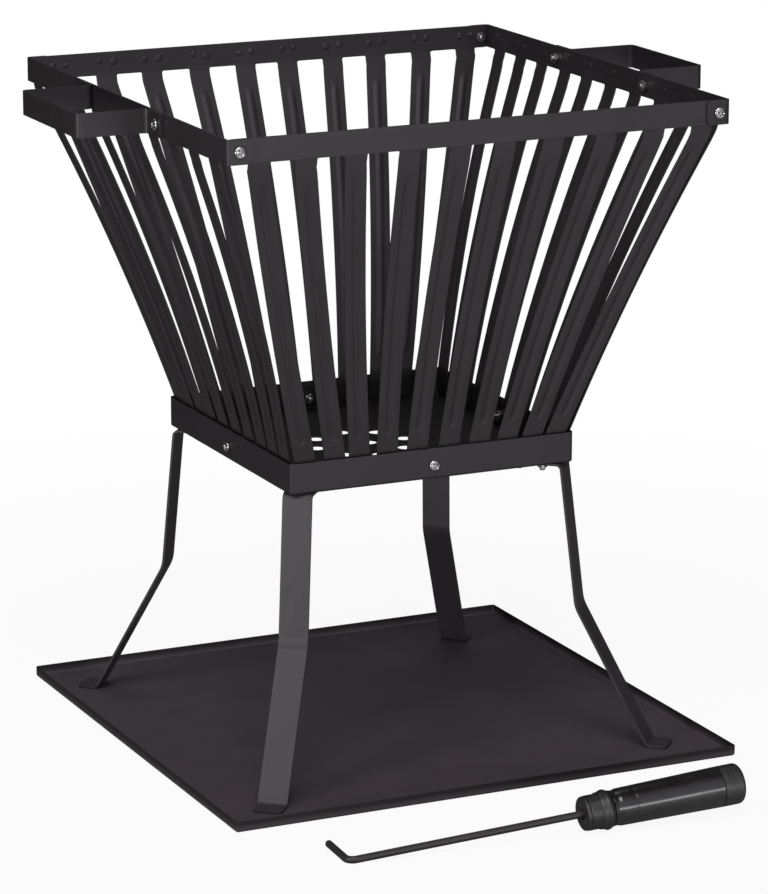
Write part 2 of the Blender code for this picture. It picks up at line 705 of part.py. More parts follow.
def build_rod(parent, material):
    """The rod with its hooked tip: local X runs from the bend to the handle."""
    hook = (HOOK_LENGTH * math.cos(HOOK_ANGLE), HOOK_LENGTH * math.sin(HOOK_ANGLE))
    corners = [hook, (0.0, 0.0), (COLLAR_START + ROD_SEATED, 0.0)]
    path = rounded_path(corners, ROD_BEND_RADIUS, segments=6)
    curve = bpy.data.curves.new("poker_rod", "CURVE")
    curve.dimensions = "3D"
    curve.bevel_depth = ROD_RADIUS
    curve.bevel_resolution = 4
    curve.use_fill_caps = True
    spline = curve.splines.new("POLY")
    spline.points.add(len(path) - 1)
    for point, place in zip(spline.points, path):
        point.co = (place.x, place.y, 0.0, 1.0)
    rod = add_object("poker_rod", curve, parent)
    rod.data.materials.append(material)
    return rod


def add_turned_piece(name, profile, parent, material):
    piece = turned(name, profile, TURNED_STEPS, parent)
    piece.rotation_euler = (0.0, math.pi / 2, 0.0)
    piece.data.materials.append(material)
    return piece


def build_poker(material_rod, material_handle):
    rest_z = ROD_RADIUS + SEAT_GAP
    turn = (0.0, -poker_pitch(), POKER_YAW)
    rest = add_empty("poker_rest", (POKER_BEND_X, POKER_BEND_Y, rest_z), turn)
    build_rod(rest, material_rod)

    bore = ROD_RADIUS + HOLE_CLEARANCE
    nose = COLLAR_START
    ring_start = nose + COLLAR_LENGTH
    ring_end = ring_start + RING_LENGTH
    grip_start = ring_end + SEAT_GAP
    grip_end = grip_start + GRIP_LENGTH
    cap_start = grip_end + SEAT_GAP
    cap_end = cap_start + CAP_LENGTH

    rib_pitch = (COLLAR_LENGTH - COLLAR_NOSE_CHAMFER) / COLLAR_RIB_COUNT
    ribs = []
    for rib in range(COLLAR_RIB_COUNT):
        crest = nose + COLLAR_NOSE_CHAMFER + rib * rib_pitch
        ribs.append((COLLAR_RADIUS, crest))
        ribs.append((COLLAR_RADIUS, crest + rib_pitch / 2))
        ribs.append((COLLAR_RADIUS - COLLAR_RIB_DEPTH, crest + rib_pitch * 3 / 4))
    collar = [(bore, nose), (COLLAR_RADIUS - COLLAR_NOSE_CHAMFER, nose)] + ribs + [
        (COLLAR_RADIUS, ring_start),
        (RING_RADIUS, ring_start + RING_EDGE),
        (RING_RADIUS, ring_end - RING_EDGE),
        (GRIP_NOSE_RADIUS, ring_end),
        (SPIGOT_RADIUS, ring_end),
        (SPIGOT_RADIUS, ring_end + SPIGOT_LENGTH),
        (bore, ring_end + SPIGOT_LENGTH),
        (bore, nose),
    ]
    grip_bore = SPIGOT_RADIUS + HOLE_CLEARANCE
    tail_bore = GRIP_TAIL_RADIUS - GRIP_WALL
    grip = [
        (grip_bore, grip_start), (GRIP_NOSE_RADIUS, grip_start), (GRIP_TAIL_RADIUS, grip_end),
        (tail_bore, grip_end), (tail_bore, grip_end - CAP_SPIGOT_LENGTH - SEAT_GAP),
        (grip_bore, grip_start + SPIGOT_LENGTH + SEAT_GAP), (grip_bore, grip_start),
    ]
    edge_steps = 3
    rounded_edge = []
    for step in range(edge_steps + 1):
        angle = math.pi / 2 * step / edge_steps
        rounded_edge.append((
            GRIP_TAIL_RADIUS - CAP_EDGE_RADIUS * (1 - math.cos(angle)),
            cap_end - CAP_EDGE_RADIUS * (1 - math.sin(angle)),
        ))
    plug = tail_bore - HOLE_CLEARANCE
    cap = [
        (CAP_BORE_RADIUS, cap_start - CAP_SPIGOT_LENGTH), (plug, cap_start - CAP_SPIGOT_LENGTH),
        (plug, cap_start), (GRIP_TAIL_RADIUS, cap_start),
    ] + rounded_edge + [
        (0.0, cap_end), (0.0, cap_start), (CAP_BORE_RADIUS, cap_start),
        (CAP_BORE_RADIUS, cap_start - CAP_SPIGOT_LENGTH),
    ]
    # These profiles run up local Z, so they are reversed to run down the outer side
    for name, profile in (("poker_collar", collar), ("poker_grip", grip), ("poker_end_cap", cap)):
        add_turned_piece(name, list(reversed(profile)), rest, material_handle)


def main():
    paint = make_material("black_heatproof_paint", BLACK_PAINT, 0.42, 0.0)
    tray_paint = make_material("black_tray_paint", TRAY_PAINT, 0.50, 0.0)
    leg_paint = make_material("satin_leg_paint", LEG_PAINT, 0.36, 0.0)
    zinc = make_material("zinc_plate", ZINC, 0.28, 1.0)
    plastic = make_material("gloss_black_plastic", BLACK_PLASTIC, 0.22, 0.0)

    basket = add_empty("basket_rest", (BASKET_SHIFT_X, BASKET_SHIFT_Y, 0.0))
    corner, handle, pan, leg = corner_sites(), handle_sites(), pan_sites(), leg_sites()
    corner_holes = hole_cutter("corner_holes", corner, basket)
    handle_holes = hole_cutter("handle_holes", handle, basket)
    pan_holes = hole_cutter("pan_holes", pan, basket)
    leg_holes = hole_cutter("leg_holes", leg, basket)
    vents = vent_cutter(basket)

    for side_name, angle, stray in SIDES:
        holes = [corner_holes, pan_holes]
        if side_name in ("left", "right"):
            holes.append(handle_holes)
            build_handle(side_name, angle, basket, paint, [handle_holes])
        build_panel(side_name, angle, stray, basket, paint, holes)
    build_pan(basket, paint, [pan_holes, leg_holes, vents])
    for leg_shape in LEGS:
        build_leg(*leg_shape, basket, leg_paint, [leg_holes])
    build_fasteners(corner + handle + pan + leg, basket, zinc)
    build_tray(tray_paint)
    build_poker(paint, plastic)
    bpy.context.view_layer.update()


main()
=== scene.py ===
import math
import random

import bmesh
import bpy
from mathutils import Matrix, Vector


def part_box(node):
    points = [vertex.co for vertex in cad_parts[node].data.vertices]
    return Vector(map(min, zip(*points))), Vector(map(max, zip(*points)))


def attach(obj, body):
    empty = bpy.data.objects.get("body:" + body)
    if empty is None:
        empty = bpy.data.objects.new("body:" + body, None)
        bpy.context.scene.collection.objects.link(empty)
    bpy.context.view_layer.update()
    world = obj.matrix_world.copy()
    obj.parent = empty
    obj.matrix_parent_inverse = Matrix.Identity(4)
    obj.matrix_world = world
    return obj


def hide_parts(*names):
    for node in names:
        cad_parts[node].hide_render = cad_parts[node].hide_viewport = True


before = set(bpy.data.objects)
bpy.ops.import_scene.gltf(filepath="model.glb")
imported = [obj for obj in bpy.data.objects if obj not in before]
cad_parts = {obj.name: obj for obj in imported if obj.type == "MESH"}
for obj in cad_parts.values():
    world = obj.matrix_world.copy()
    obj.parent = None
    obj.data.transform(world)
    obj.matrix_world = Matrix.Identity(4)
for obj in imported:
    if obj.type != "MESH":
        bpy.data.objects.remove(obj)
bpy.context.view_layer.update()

# Lengths are metres, and the angles in tables are degrees. The sizes are the solid model's own.
GAP = 0.0003
BASKET = Vector((-0.0055, 0.0027, 0.0))

TRAY_HALF = 0.2270
TRAY_HEIGHT = 0.0092
TRAY_SHEET = 0.0010
TRAY_CORNER = 0.0028
TRAY_FOLD = 0.0026

LEG_WIDTH = 0.0250
LEG_THICKNESS = 0.0020
LEG_FLANGE_Z = 0.2403
LEG_FOOT_Z = 0.0023
LEG_TOP_RADIAL = 0.1735
LEG_PIVOT = 0.1450
LEG_FLANGE = 0.0520
LEG_KNEE_DROP = 0.1215
LEG_FOOT = 0.0170
LEG_BENDS = (0.0045, 0.030, 0.0042)
LEG_END_RADIUS = 0.0040
# Corner, bearing, turn about its own upright line, and reach of the knee and of the foot
LEGS = (
    ("front_left", 225.0, 5.5, 0.1880, 0.2530),
    ("front_right", 315.0, 3.0, 0.1880, 0.2510),
    ("back_right", 45.0, 0.0, 0.1760, 0.2260),
    ("back_left", 135.0, 3.0, 0.1850, 0.2490),
)

PAN_HALF = 0.1290
PAN_HEIGHT = 0.0260
PAN_SHEET = 0.0012
PAN_BOTTOM = 0.2416
PAN_CORNER = 0.0045
PAN_FOLD = 0.0022
VENT_RADIUS = 0.0074
VENT_RING = 0.0405
VENT_SHIFT = -0.0070
VENTS_IN_RING = 8

RIM_HALF = 0.2200
BAND_HEIGHT = 0.0200
BAND_THICKNESS = 0.0020
BAND_BOTTOM = 0.5346
BAND_MID = BAND_BOTTOM + BAND_HEIGHT / 2
BAND_TOP = BAND_BOTTOM + BAND_HEIGHT
PLAIN_HALF = RIM_HALF - BAND_THICKNESS - GAP
PLAIN_END = 0.2158
BAND_BEND = 0.0035
BAND_END_RADIUS = 0.0045
TAB_LENGTH = 0.0215
SLAT_WIDTH = 0.0188
SLAT_THICKNESS = 0.0012
SLAT_BEND_Z = 0.5276
SLAT_EASE = 0.0060
SLAT_FILLET = 0.0013
SLAT_FOOT_Z = 0.2641
SLAT_END_Z = 0.2461
SLAT_FOOT_RADIAL = 0.1255
SLAT_BOW = 0.0055
SLAT_SINK = 0.0001
FOOT_STRIP = 0.0015
SLAT_TOPS = (0.0216, 0.0647, 0.1078, 0.1510, 0.1941)
SLAT_FEET = (0.0143, 0.0415, 0.0662, 0.0892, 0.1112)
BEAD_TOP = 0.5190
BEAD_LOW = 0.2830
BEAD_DEPTH = 0.0011
BEAD_HALF = 0.0044
BEAD_TOP_RISE = 0.0130
BEAD_LOW_RISE = 0.0070
JOGGLE = 0.0011
JOGGLE_DROP = 0.0090
JOGGLE_RUN = 0.0080
DIMPLE_DEPTH = 0.0008
DIMPLE_RISE = 0.0030
DIMPLE_LENGTH = 0.0014
DIMPLE_WIDTH = 0.0013
# Where a slat has its cross lines: below the band, at the ends of its bead, and across it
RIM_DROPS = (-0.0030, -0.0003, 0.0, 0.0002, 0.0005, 0.0009, 0.0013, 0.0035,
             0.0055, 0.0070, 0.0085, 0.0100, 0.0120, 0.0140)
BEAD_TOP_RUNS = (0.0, 0.0025, 0.0050, 0.0075, 0.0100, 0.0130)
BEAD_LOW_RUNS = (0.0100, 0.0075, 0.0055, 0.0042, 0.0030, 0.0018, 0.0005, -0.0030, -0.0090)
SLAT_SPANS = 15
BEAD_PLACES = (-0.0068, -BEAD_HALF, -0.0034, -0.0024, -0.0014, -0.0006, 0.0,
               0.0006, 0.0014, 0.0024, 0.0034, BEAD_HALF, 0.0068)
WELD_SPREAD = 0.0058
WELD_Z = BAND_BOTTOM + 0.0113
WELD_STEPS = 16
# Radius of each ring of a weld, and its height as a share of the lift of the weld
WELD_RINGS = ((0.0, 0.50), (0.0006, 0.62), (0.0013, 1.0), (0.0020, 0.80), (0.0027, 0.30),
              (0.0034, -0.25))
# Side, angle, and how far each of its slats strays sideways at the rim and at the pan
SIDES = (
    ("front", 0.0,
     (0.0023, -0.0012, -0.0019, 0.0012, 0.0018, -0.0024, -0.0030, 0.0011, 0.0011, 0.0014),
     (-0.0024, 0.0018, 0.0005, 0.0004, 0.0, 0.0, 0.0002, 0.0009, 0.0008, 0.0005)),
    ("right", 90.0,
     (0.0005, 0.0003, 0.0029, 0.0030, 0.0038, 0.0040, 0.0009, 0.0018, -0.0009, -0.0030),
     (-0.0035, -0.0005, 0.0023, 0.0011, 0.0, 0.0, 0.0009, 0.0010, 0.0040, 0.0036)),
    ("back", 180.0,
     (-0.0014, -0.0006, 0.0009, -0.0006, -0.0003, -0.0035, -0.0031, -0.0018, -0.0029, -0.0031),
     (-0.0013, -0.0018, -0.0029, 0.0029, 0.0, 0.0018, -0.0014, -0.0013, 0.0021, 0.0008)),
    ("left", -90.0,
     (-0.0018, 0.0005, 0.0069, 0.0042, -0.0010, -0.0015, -0.0002, -0.0030, -0.0021, -0.0050),
     (0.0003, 0.0, 0.0043, 0.0008, 0.0, 0.0, -0.0006, 0.0009, 0.0005, 0.0)),
)

HANDLE_WIDTH = 0.1250
HANDLE_REACH = 0.0625
HANDLE_FLANGE = 0.0270
HANDLE_HEIGHT = 0.0198
HANDLE_THICKNESS = 0.0020
HANDLE_BEND = 0.0042
HANDLE_END_RADIUS = 0.0020

SCREW_RADIUS = 0.0025
SCREW_LENGTH = 0.0105
HEAD_RADIUS = 0.0048
HEAD_HEIGHT = 0.0028
HEAD_RIM = 0.0010
RECESS_OVER = 0.0010
RECESS_DEPTH = 0.0022
# Length and width of each arm of the recess, above the head and on its floor
RECESS_TOP = (0.0072, 0.0019)
RECESS_FLOOR = (0.0040, 0.0012)
NUT_FLATS = 0.0080
NUT_HEIGHT = 0.0040
NUT_CORNER = NUT_FLATS / math.sqrt(3)
NUT_CHAMFER = 0.0005
THREAD_PITCH = 0.0008
THREAD_DEPTH = 0.0004
OUTWARD = {
    "front": Vector((0.0, -1.0, 0.0)),
    "back": Vector((0.0, 1.0, 0.0)),
    "left": Vector((-1.0, 0.0, 0.0)),
    "right": Vector((1.0, 0.0, 0.0)),
    "up": Vector((0.0, 0.0, 1.0)),
}

POKER_BEND = Vector((-0.1762, -0.3295, 0.0033))
POKER_YAW = math.radians(-3.1)
ROD_RADIUS = 0.0030
ROD_BEND = 0.0070
HOOK_LENGTH = 0.0440
ROD_INSIDE = 0.09
# How the tip of the hook rounds off: run from its end, and share of the radius
ROD_TIP = ((0.0, 0.35), (0.0003, 0.68), (0.0008, 0.88), (0.0016, 0.98), (0.0026, 1.0))
COLLAR_START = 0.1990
COLLAR_RADIUS = 0.0141
RING_START = 0.2122
RING_RADIUS = 0.0163
RING_END = 0.2225
GRIP_START = 0.2228
GRIP_END = 0.3185
CAP_START = 0.3188
CAP_END = 0.3372
GRIP_NOSE_RADIUS = 0.0150
GRIP_TAIL_RADIUS = 0.0165
GRIP_NECK = 0.0072
GRIP_NECK_RADIUS = 0.0147
GRIP_DIP = 0.0006
GRIP_LINE = 0.2424
TURNED_STEPS = 64


# Materials

MIX_COLOURS = (6, 7)
MIX_RESULT = 2
STRIP_GRAIN = (9.0, 420.0, 1.0)
SHEET_GRAIN = (5.0, 90.0, 60.0)
# Painted shade: the near-black colour that stands in for shade, and at most how far it covers
PAINTED_SHADE_COLOUR = (0.004, 0.0035, 0.0032)
PAINTED_SHADE_COVER = 0.85


def node(tree, kind, **inputs):
    """A new shader node with some inputs set or linked. An input called i0 is the first one."""
    made = tree.nodes.new(kind)
    for name, value in inputs.items():
        numbered = name[0] == "i" and name[1:].isdigit()
        socket = made.inputs[int(name[1:]) if numbered else name]
        if isinstance(value, bpy.types.NodeSocket):
            tree.links.new(value, socket)
        else:
            socket.default_value = value
    return made


def reckoned(tree, operation, *values):
    """The result of a math node."""
    inputs = {"i%d" % number: value for number, value in enumerate(values)}
    made = node(tree, "ShaderNodeMath", **inputs)
    made.operation = operation
    return made.outputs[0]


def noise(tree, vector, scale, detail=3.0, roughness=0.55, distortion=0.0):
    made = node(tree, "ShaderNodeTexNoise", Vector=vector, Scale=scale, Detail=detail)
    made.inputs["Roughness"].default_value = roughness
    made.inputs["Distortion"].default_value = distortion
    return made.outputs["Fac"]


def stretched(tree, vector, scale):
    return node(tree, "ShaderNodeMapping", Vector=vector, Scale=scale).outputs["Vector"]


def ranged(tree, value, low, high, source=(0.3, 0.7)):
    """A value carried from its source range to low and high, and held there beyond it."""
    made = node(tree, "ShaderNodeMapRange", Value=value)
    made.inputs["From Min"].default_value = source[0]
    made.inputs["From Max"].default_value = source[1]
    made.inputs["To Min"].default_value = low
    made.inputs["To Max"].default_value = high
    return made.outputs["Result"]


def mixed(tree, factor, *colours):
    """The first colour at factor 0, and the second at factor 1."""
    made = tree.nodes.new("ShaderNodeMix")
    made.data_type = "RGBA"
    tree.links.new(factor, made.inputs["Factor"])
    for number, value in zip(MIX_COLOURS, colours):
        if isinstance(value, bpy.types.NodeSocket):
            tree.links.new(value, made.inputs[number])
        else:
            made.inputs[number].default_value = (*value, 1.0)
    return made.outputs[MIX_RESULT]


def bumped(tree, height, strength, distance, before=None):
    made = node(tree, "ShaderNodeBump", Height=height, Strength=strength, Distance=distance)
    if before:
        tree.links.new(before, made.inputs["Normal"])
    return made.outputs["Normal"]


def new_material(name):
    material = bpy.data.materials.new(name)
    material.use_nodes = True
    return material, material.node_tree, material.node_tree.nodes["Principled BSDF"]


def painted(name, light, dark, roughness, along, specular=0.5, streak=0.4, painted_shade=None):
    """Baked paint on rolled steel: faint streaks along the metal, soft patches and a fine grain.

    Its last argument says which output of the texture coordinates, over which range of its Z, is
    darkened with painted shade.
    """
    material, tree, shader = new_material(name)
    coords = tree.nodes.new("ShaderNodeTexCoord")
    place = coords.outputs["UV" if along else "Object"]
    rolled = stretched(tree, place, STRIP_GRAIN if along else SHEET_GRAIN)
    lines = noise(tree, rolled, 1.0, 4.0, 0.6)
    patches = noise(tree, coords.outputs["Object"], 16.0, 3.0, 0.55, 0.4)
    grain = noise(tree, coords.outputs["Object"], 1500.0, 2.0, 0.5)
    blend = ranged(tree, lines, 0.5 - streak / 2, 0.5 + streak / 2)
    both = reckoned(tree, "ADD", blend, ranged(tree, patches, -0.35, 0.35))
    colour = mixed(tree, both, dark, light)
    # Painted shade: the colour darkens over a range of height or facing, where shade falls
    if painted_shade:
        kind, unshaded, black = painted_shade
        height = node(tree, "ShaderNodeSeparateXYZ", Vector=coords.outputs[kind]).outputs["Z"]
        cover = ranged(tree, height, 0.0, PAINTED_SHADE_COVER, (unshaded, black))
        colour = mixed(tree, cover, colour, PAINTED_SHADE_COLOUR)
    tree.links.new(colour, shader.inputs["Base Color"])
    gloss = reckoned(tree, "ADD", ranged(tree, patches, -0.04, 0.04),
                     ranged(tree, lines, roughness - 0.03, roughness + 0.03))
    tree.links.new(gloss, shader.inputs["Roughness"])
    relief = bumped(tree, lines, 0.10 * streak, 0.0006)
    relief = bumped(tree, patches, 0.12, 0.004, relief)
    relief = bumped(tree, grain, 0.10, 0.00025, relief)
    tree.links.new(relief, shader.inputs["Normal"])
    shader.inputs["Specular IOR Level"].default_value = specular
    return material


def zinc_plate():
    """Bright plating, a little cloudy."""
    material, tree, shader = new_material("bright_zinc")
    place = tree.nodes.new("ShaderNodeTexCoord").outputs["Object"]
    cloud = noise(tree, place, 700.0, 3.0)
    colour = mixed(tree, ranged(tree, cloud, 0.0, 1.0), (0.42, 0.41, 0.41), (0.66, 0.65, 0.64))
    relief = bumped(tree, noise(tree, place, 2600.0, 2.0), 0.15, 0.0002)
    tree.links.new(colour, shader.inputs["Base Color"])
    tree.links.new(ranged(tree, cloud, 0.30, 0.16), shader.inputs["Roughness"])
    tree.links.new(relief, shader.inputs["Normal"])
    shader.inputs["Metallic"].default_value = 1.0
    return material


def glossy_black(name, roughness, rings=0.0):
    """Moulded black plastic, with fine rings round it where it was turned or ribbed."""
    material, tree, shader = new_material(name)
    coords = tree.nodes.new("ShaderNodeTexCoord")
    moulded = stretched(tree, coords.outputs["UV"], (7.0, 26.0, 1.0))
    patches = noise(tree, moulded, 1.0, 4.0, 0.6, 0.8)
    smears = noise(tree, coords.outputs["Object"], 90.0, 4.0, 0.6, 0.8)
    colour = mixed(tree, ranged(tree, smears, 0.0, 1.0), (0.007, 0.006, 0.0065),
                   (0.017, 0.015, 0.016))
    gloss = ranged(tree, smears, roughness - 0.03, roughness + 0.04)
    tree.links.new(colour, shader.inputs["Base Color"])
    tree.links.new(gloss, shader.inputs["Roughness"])
    relief = bumped(tree, patches, 0.14, 0.0008)
    if rings:
        ribbed = stretched(tree, coords.outputs["UV"], (0.6, rings, 1.0))
        relief = bumped(tree, noise(tree, ribbed, 1.0, 2.0, 0.5), 0.5, 0.0004, relief)
    tree.links.new(relief, shader.inputs["Normal"])
    shader.inputs["Specular IOR Level"].default_value = 0.85
    return material


STRIP_LIGHT = (0.032, 0.0275, 0.0315)
STRIP_DARK = (0.019, 0.0160, 0.0175)
STRIP_PAINT = painted("strip_paint", STRIP_LIGHT, STRIP_DARK, 0.44, along=True, specular=0.42)
# The slats darken towards their feet with painted shade, where the pan's wall shades them
PANEL_PAINT = painted("panel_paint", STRIP_LIGHT, STRIP_DARK, 0.44, along=True, specular=0.42,
                      streak=0.45, painted_shade=("Object", 0.2720, 0.2676))
# The pan's faces that look up, its floor and the tops of its walls, are darkened with painted shade
PAN_PAINT = painted("pan_paint", (0.026, 0.0230, 0.0265), (0.018, 0.0155, 0.0172), 0.46,
                    along=False, specular=0.4, streak=0.2, painted_shade=("Normal", 0.5, 0.9))
# The tray's walls darken towards their top with painted shade
TRAY_PAINT = painted("tray_paint", (0.082, 0.067, 0.077), (0.068, 0.056, 0.064), 0.48,
                     along=False, specular=0.38, streak=0.15, painted_shade=("Object", 0.0018, 0.0070))
LEG_PAINT = painted("leg_paint", (0.044, 0.0385, 0.0435), (0.031, 0.0270, 0.0300), 0.42,
                    along=True, specular=0.45, streak=0.3)
ROD_PAINT = painted("rod_paint", (0.036, 0.032, 0.035), (0.024, 0.021, 0.022), 0.40, along=False)
ZINC = zinc_plate()
GRIP_PLASTIC = glossy_black("grip_plastic", 0.17)
COLLAR_PLASTIC = glossy_black("collar_plastic", 0.42, 900.0)


# Shapes

SHARP_ANGLE = math.radians(50.0)
STRIP_PLACES = (-1.0, -0.5, 0.0, 0.5, 1.0)
END_STEPS = 5


def finish_mesh(bm, name):
    """The mesh of a bmesh, shaded smooth, with its faces looking outward."""
    bmesh.ops.recalc_face_normals(bm, faces=bm.faces)
    mesh = bpy.data.meshes.new(name)
    bm.to_mesh(mesh)
    bm.free()
    mesh.shade_smooth()
    return mesh


def placed(name, data):
    """A new object in the scene."""
    made = bpy.data.objects.new(name, data)
    bpy.context.scene.collection.objects.link(made)
    return made


def rotated(degrees, axis="Z"):
    return Matrix.Rotation(math.radians(degrees), 4, axis)


def add_piece(name, mesh, material, matrix=None, edge=0.0):
    """A piece in the scene, with its sharp edges rounded over by the given width."""
    piece = placed(name, mesh)
    piece.matrix_world = matrix or Matrix.Identity(4)
    if not mesh.materials:
        mesh.materials.append(material)
    if edge:
        bevel = piece.modifiers.new("edges", "BEVEL")
        bevel.width = edge
        bevel.segments = 2
        bevel.limit_method = "ANGLE"
        bevel.angle_limit = SHARP_ANGLE
    weighted = piece.modifiers.new("shading", "WEIGHTED_NORMAL")
    weighted.keep_sharp = True
    return piece


def stand_for(piece, body, slot, *nodes):
    """Says which body a piece moves with and which solids it stands for. Its slot, for the finish,
    is not used.
    """
    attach(piece, body)
    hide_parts(*nodes)


def rounded_path(points, radii, segments=8):
    """A path in a plane with each inner corner turned into an arc of its own radius."""
    corners = [Vector(point) for point in points]
    path = [corners[0]]
    for before, corner, after, radius in zip(corners, corners[1:], corners[2:], radii):
        back = (before - corner).normalized()
        ahead = (after - corner).normalized()
        half = back.angle(ahead) / 2
        centre = corner + (back + ahead).normalized() * (radius / math.sin(half))
        start = corner + back * (radius / math.tan(half)) - centre
        sweep = start.angle_signed(corner + ahead * (radius / math.tan(half)) - centre)
        for step in range(segments + 1):
            path.append(centre + Matrix.Rotation(-sweep * step / segments, 2) @ start)
    path.append(corners[-1])
    return path


def add_sheet(bm, grid, thickness):
    """A sheet of one thickness on a grid of points. Its UV map is in metres along and across."""
    layer = bm.loops.layers.uv.verify()
    rows = len(grid)
    columns = len(grid[0])
    middle = columns // 2
    along = [0.0]
    for lower, upper in zip(grid, grid[1:]):
        along.append(along[-1] + (upper[middle] - lower[middle]).length)

    def normal(row, column):
        down = grid[min(row + 1, rows - 1)][column] - grid[max(row - 1, 0)][column]
        across = grid[row][min(column + 1, columns - 1)] - grid[row][max(column - 1, 0)]
        return down.cross(across).normalized()

    place = {}
    skins = []
    for sign in (0.5, -0.5):
        skin = []
        for row in range(rows):
            line = []
            for column in range(columns):
                vert = bm.verts.new(grid[row][column] + normal(row, column) * (thickness * sign))
                place[vert] = (along[row], (grid[row][column] - grid[row][middle]).length
                               * (1 if column > middle else -1))
                line.append(vert)
            skin.append(line)
        skins.append(skin)

    faces = []
    for skin in skins:
        for lower, upper in zip(skin, skin[1:]):
            for column in range(columns - 1):
                faces.append((lower[column], lower[column + 1], upper[column + 1], upper[column]))
    border = [(row, 0) for row in range(rows)]
    border += [(rows - 1, column) for column in range(1, columns)]
    border += [(row, columns - 1) for row in range(rows - 2, -1, -1)]
    border += [(0, column) for column in range(columns - 2, 0, -1)]
    front, back = skins
    for (row, column), (next_row, next_column) in zip(border, border[1:] + border[:1]):
        faces.append((front[row][column], front[next_row][next_column],
                      back[next_row][next_column], back[row][column]))
    for corners in faces:
        face = bm.faces.new(corners)
        for loop in face.loops:
            loop[layer].uv = place[loop.vert]


def strip_grid(path, width, end_radius):
    """The grid of a strip that follows a path in local XY, with rounded corners at both ends."""
    points = [Vector((point.x, point.y, 0.0)) for point in path]
    lengths = [0.0]
    for before, after in zip(points, points[1:]):
        lengths.append(lengths[-1] + (after - before).length)
    total = lengths[-1]
    stations = list(lengths)
    if end_radius:
        for step in range(1, END_STEPS + 1):
            reach = end_radius * (1 - math.cos(math.pi / 2 * step / END_STEPS))
            stations += [reach, total - reach]
    stations = sorted(set(round(station, 7) for station in stations))
    grid = []
    for station in stations:
        index = max(0, min(len(points) - 2, sum(1 for length in lengths if length <= station) - 1))
        share = (station - lengths[index]) / (lengths[index + 1] - lengths[index])
        centre = points[index].lerp(points[index + 1], min(share, 1.0))
        from_end = min(station, total - station)
        half = width / 2
        if from_end < end_radius:
            half += math.sqrt(max(end_radius ** 2 - (end_radius - from_end) ** 2, 0.0)) - end_radius
        grid.append([centre + Vector((0.0, 0.0, half * place)) for place in STRIP_PLACES])
    return grid


def strip_mesh(name, path, width, thickness, end_radius):
    """A bent strip: its path is in local XY and its width along local Z."""
    bm = bmesh.new()
    add_sheet(bm, strip_grid(path, width, end_radius), thickness)
    return finish_mesh(bm, name)


def ring_corners(first, second, step):
    """The corners of one face between two rings, either of which may be a single point."""
    corners = [first[step % len(first)], first[(step + 1) % len(first)],
               second[(step + 1) % len(second)], second[step % len(second)]]
    return list(dict.fromkeys(corners))


def turned_mesh(name, profile, steps):
    """A solid of revolution about local X. The profile is a list of (length, radius)."""
    bm = bmesh.new()
    layer = bm.loops.layers.uv.verify()
    rings = []
    place = {}
    for length, radius in profile:
        count = steps if radius > 1e-6 else 1
        ring = []
        for step in range(count):
            angle = 2 * math.pi * step / steps
            across = radius * math.cos(angle)
            ring.append(bm.verts.new((length, across, radius * math.sin(angle))))
            place[ring[-1]] = (step / steps, length)
        rings.append(ring)
    for first, second in zip(rings, rings[1:]):
        for step in range(steps):
            corners = ring_corners(first, second, step)
            if len(corners) > 2:
                face = bm.faces.new(corners)
                for loop in face.loops:
                    turn, length = place[loop.vert]
                    if turn == 0.0 and step == steps - 1:
                        turn = 1.0
                    loop[layer].uv = (turn, length)
    return finish_mesh(bm, name)


def tray_mesh(name, half, height, corner_radius, fold_radius):
    """The outer skin of a square sheet with its edges folded up, its underside at z 0."""
    bm = bmesh.new()
    size = Matrix.Diagonal((2 * half, 2 * half, height, 1.0))
    bmesh.ops.create_cube(bm, size=1.0, matrix=size)
    lid = [face for face in bm.faces if face.normal.z > 0.5]
    bmesh.ops.delete(bm, geom=lid, context="FACES_ONLY")
    upright = [edge for edge in bm.edges
               if abs((edge.verts[0].co - edge.verts[1].co).z) > height / 2]
    bmesh.ops.bevel(bm, geom=upright, offset=corner_radius, segments=8, profile=0.5,
                    affect="EDGES")
    floor = min(bm.faces, key=lambda face: face.calc_center_median().z)
    bmesh.ops.bevel(bm, geom=list(floor.edges), offset=fold_radius, segments=5, profile=0.5,
                    affect="EDGES")
    bmesh.ops.translate(bm, verts=bm.verts, vec=(0.0, 0.0, height / 2))
    return finish_mesh(bm, name)


def thicken(piece, thickness):
    """Gives an outer skin its thickness inward, before its other modifiers."""
    modifier = piece.modifiers.new("sheet", "SOLIDIFY")
    modifier.thickness = thickness
    modifier.offset = -1.0
    modifier.use_even_offset = True
    while piece.modifiers[0] != modifier:
        piece.modifiers.move(piece.modifiers.find(modifier.name), 0)


def baked(piece):
    """The piece's mesh with its modifiers applied. The piece itself is removed."""
    bpy.context.view_layer.update()
    graph = bpy.context.evaluated_depsgraph_get()
    mesh = bpy.data.meshes.new_from_object(piece.evaluated_get(graph))
    bpy.data.objects.remove(piece)
    return mesh


def cut(piece, mesh, operation="DIFFERENCE"):
    """Cuts a piece with a mesh and returns the result as a new mesh."""
    cutter = placed("cutter", mesh)
    modifier = piece.modifiers.new("cut", "BOOLEAN")
    modifier.operation = operation
    modifier.solver = "EXACT"
    modifier.object = cutter
    result = baked(piece)
    bpy.data.objects.remove(cutter)
    return result


# Panels

def eased(share):
    """A share held between 0 and 1, with a soft start and end."""
    share = min(max(share, 0.0), 1.0)
    return share * share * (3 - 2 * share)


